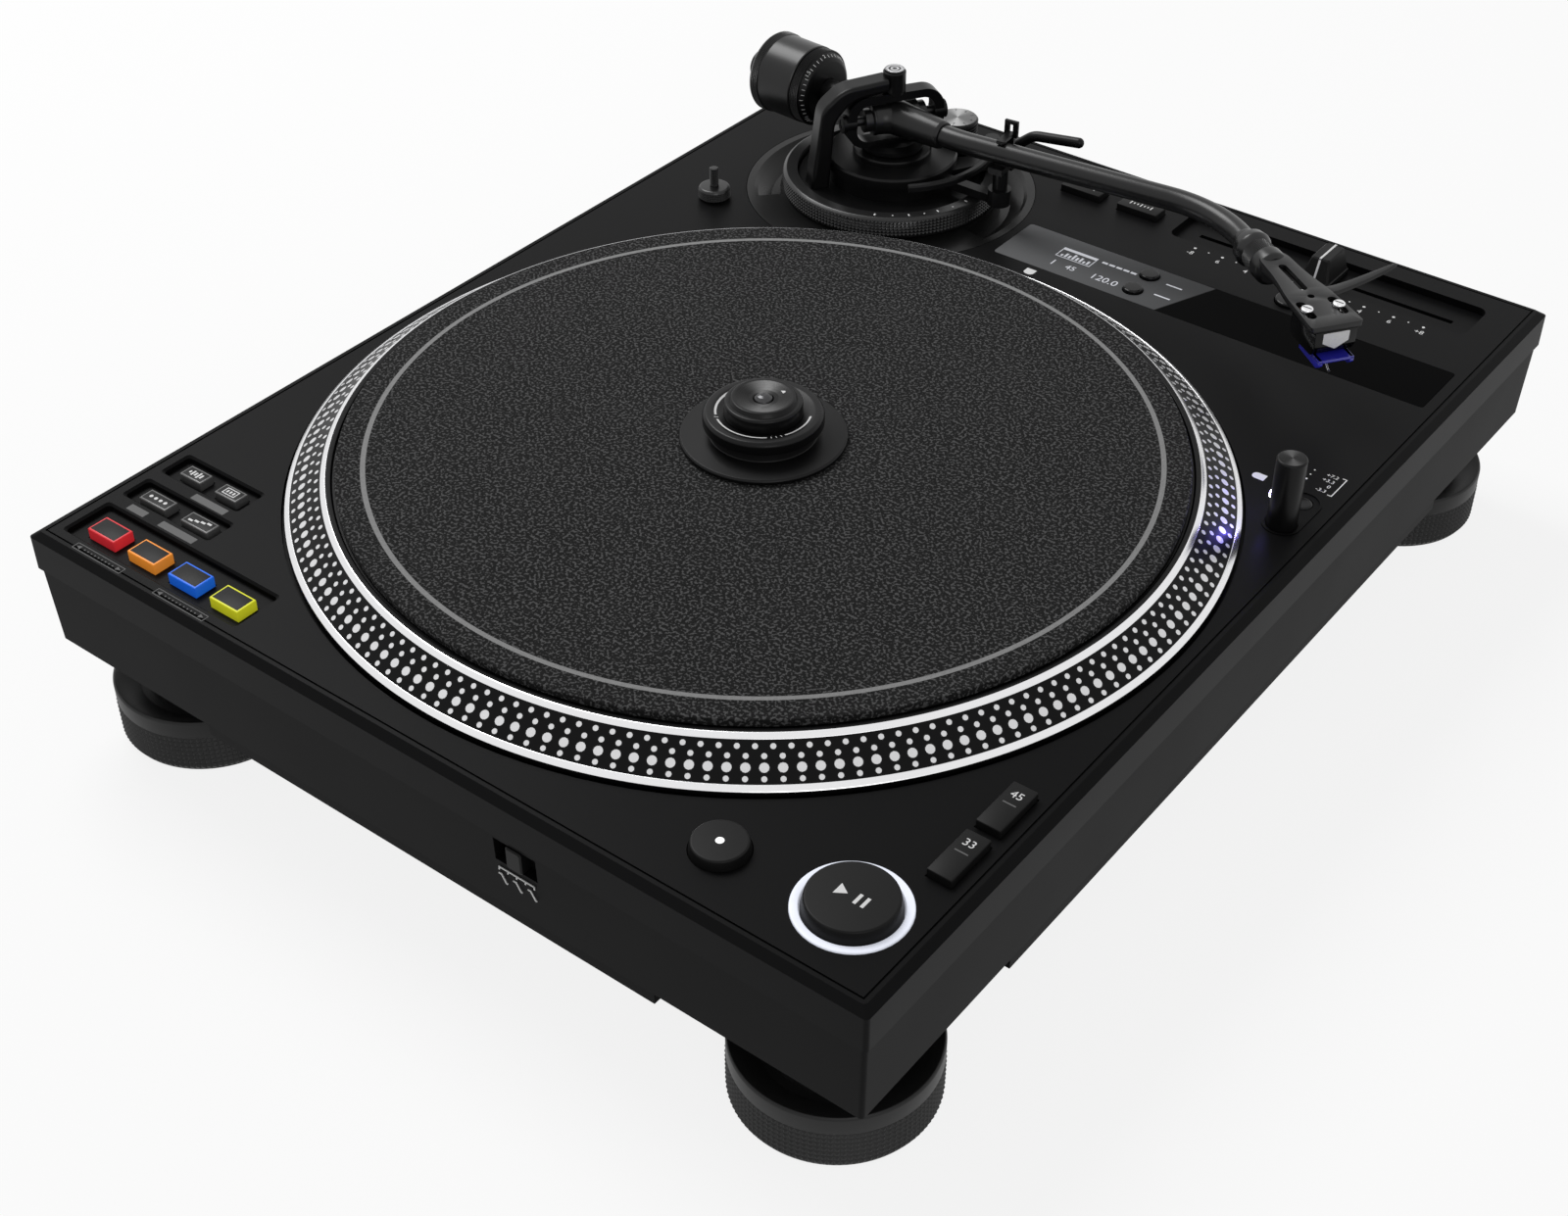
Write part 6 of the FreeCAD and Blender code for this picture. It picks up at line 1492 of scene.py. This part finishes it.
    def stylus(self) -> None:
        """Build the blue needle holder, its cantilever and tip."""
        form = Form()
        cheek = [(84.0, 24.9, 0.3), (84.0, 22.1, 0.3), (97.0, 21.1, 0.6), (99.0, 22.6, 0.5),
                 (99.0, 24.9, 0.3)]
        for low, high in ((-7.0, -5.4), (5.4, 7.0)):
            form.prism([cheek], low, high, 0.2, UPRIGHT)
        form.block((84.0, -7.0, 23.7), (99.0, 7.0, 24.9), 0.25)
        form.block((84.2, -5.6, 21.4), (89.0, 5.6, 24.2), 0.25)
        root, tip = Vector((88.0, 0, 22.7)), Vector((95.0, 0, 17.4))
        rod = tip - root
        tilt = at(*root) @ rod.to_track_quat("Z", "Y").to_matrix().to_4x4()
        form.lathe([(0, 0), (0.55, 0), (0.35, rod.length - 0.2), (0, rod.length)], 20, tilt, 1)
        form.lathe([(0, 16.2), (0.15, 16.2), (0.5, 17.4), (0.5, 17.8), (0, 17.8)], 16, at(tip.x), 1)
        form.piece("stylus_holder", "stylus", [GUARD, STEEL], "guard_blue", ["stylus_unit"], self.on_head())


# Studio


@dataclass(frozen=True)
class Lamp:
    """A square soft lamp: where it hangs in metres, its side and its power."""

    name: str
    place: Point
    size: float
    power: float


@dataclass
class Studio:
    """A plain pale floor, soft light from the back left, and the camera at the photograph's angle."""

    eye: Point = (0.40095, -0.55496, 0.54564)
    aim: Point = (0.053165, -0.102504, 0.087)
    lens: float = 51.57
    lit_point: Point = (0.0, 0.0, 0.08)
    even_light: float = 0.3
    own_white: float = 0.85
    lamps: tuple[Lamp, ...] = (Lamp("key_lamp", (-1.3, 0.3, 1.9), 1.1, 34.0),
                               Lamp("fill_lamp", (1.4, -1.2, 1.0), 0.9, 5.0))

    def build(self) -> None:
        """Set up floor, world, lamps and camera."""
        self.camera()
        self.floor()
        self.world()
        for lamp in self.lamps:
            self.hang(lamp)
        bpy.context.scene.view_settings.view_transform = "Standard"

    def camera(self) -> None:
        """Place the camera."""
        camera = bpy.data.cameras.new("view_camera")
        camera.lens = self.lens
        camera.sensor_width = 36.0
        camera.clip_start = 0.01
        camera.clip_end = 50.0
        bpy.context.scene.camera = self.pointed(linked("view_camera", camera), self.eye, self.aim)

    @staticmethod
    def pointed(holder: bpy.types.Object, place: Point, target: Point) -> bpy.types.Object:
        """Move a lamp or camera to a place and turn it towards a target."""
        holder.location = place
        holder.rotation_euler = (Vector(target) - Vector(place)).to_track_quat("-Z", "Y").to_euler()
        return holder

    def hang(self, lamp: Lamp) -> None:
        """Hang a lamp that points at the record player."""
        light = bpy.data.lights.new(lamp.name, "AREA")
        light.shape = "SQUARE"
        light.size = lamp.size
        light.energy = lamp.power
        self.pointed(linked(lamp.name, light), lamp.place, self.lit_point)

    @staticmethod
    def seen(recipe: Recipe) -> Signal:
        """Return 1 for rays from the camera, mirrors and glass."""
        path = recipe.node("LightPath", {}, {})
        camera, glossy, through = (Signal(recipe, path.outputs[name]) for name in
                                   ("Is Camera Ray", "Is Glossy Ray", "Is Transmission Ray"))
        return camera.math("MINIMUM", camera + glossy + through, 1.0)

    def floor(self) -> None:
        """Lay the floor: pale, with part of its white its own, so that the shadow stays soft."""
        mesh = bmesh.new()
        bmesh.ops.create_grid(mesh, x_segments=2, y_segments=2, size=12.0)
        data = bpy.data.meshes.new("studio_floor")
        mesh.to_mesh(data)
        mesh.free()
        recipe = Recipe("floor_white")
        haze = recipe.noise(recipe.place(), 300.0)
        colour = recipe.scaled((0.9, 0.9, 0.9), 0.985 + haze * 0.03)
        matt = recipe.first("BsdfDiffuse", {}, {"Color": colour})
        lit = recipe.first("Emission", {}, {"Color": (1.0, 1.0, 1.0), "Strength": 1.0})
        mixed = recipe.first("MixShader", {}, {0: self.seen(recipe) * self.own_white, 1: matt, 2: lit})
        recipe.node("OutputMaterial", {}, {0: mixed})
        data.materials.append(recipe.material)
        linked("studio_floor", data)

    def world(self) -> None:
        """Light everything evenly, and show white where nothing stands."""
        world = bpy.data.worlds.new("studio")
        world.use_nodes = True
        world.node_tree.nodes.clear()
        recipe = Recipe("studio_sky")
        bpy.data.materials.remove(recipe.material)
        recipe.tree = world.node_tree
        even, white = (recipe.first("Background", {}, {"Color": (1.0, 1.0, 1.0), "Strength": strength})
                       for strength in (self.even_light, 1.0))
        mixed = recipe.first("MixShader", {}, {0: self.seen(recipe), 1: even, 2: white})
        recipe.node("OutputWorld", {}, {0: mixed})
        bpy.context.scene.world = world


FEET = ((-140.9, -190.9), (-140.9, 190.9), (140.9, -190.9), (140.9, 190.9))


def main() -> None:
    """Load the frame and build the record player on it."""
    logging.basicConfig(level=logging.INFO, format="%(message)s")
    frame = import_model()
    nodes = frame["nodes"]
    Studio().build()
    Casing().build(nodes)
    for number, (x, y) in enumerate(FEET):
        Foot(number + 1, x, y).build()
    Platter().build(nodes)
    RecordClamp().build()
    Controls().build()
    TargetLamp().build()
    TempoFader().build()
    SpareWeight().build()
    ArmSeat().build(nodes)
    Arm().build(nodes)


if __name__ == "__main__":
    main()
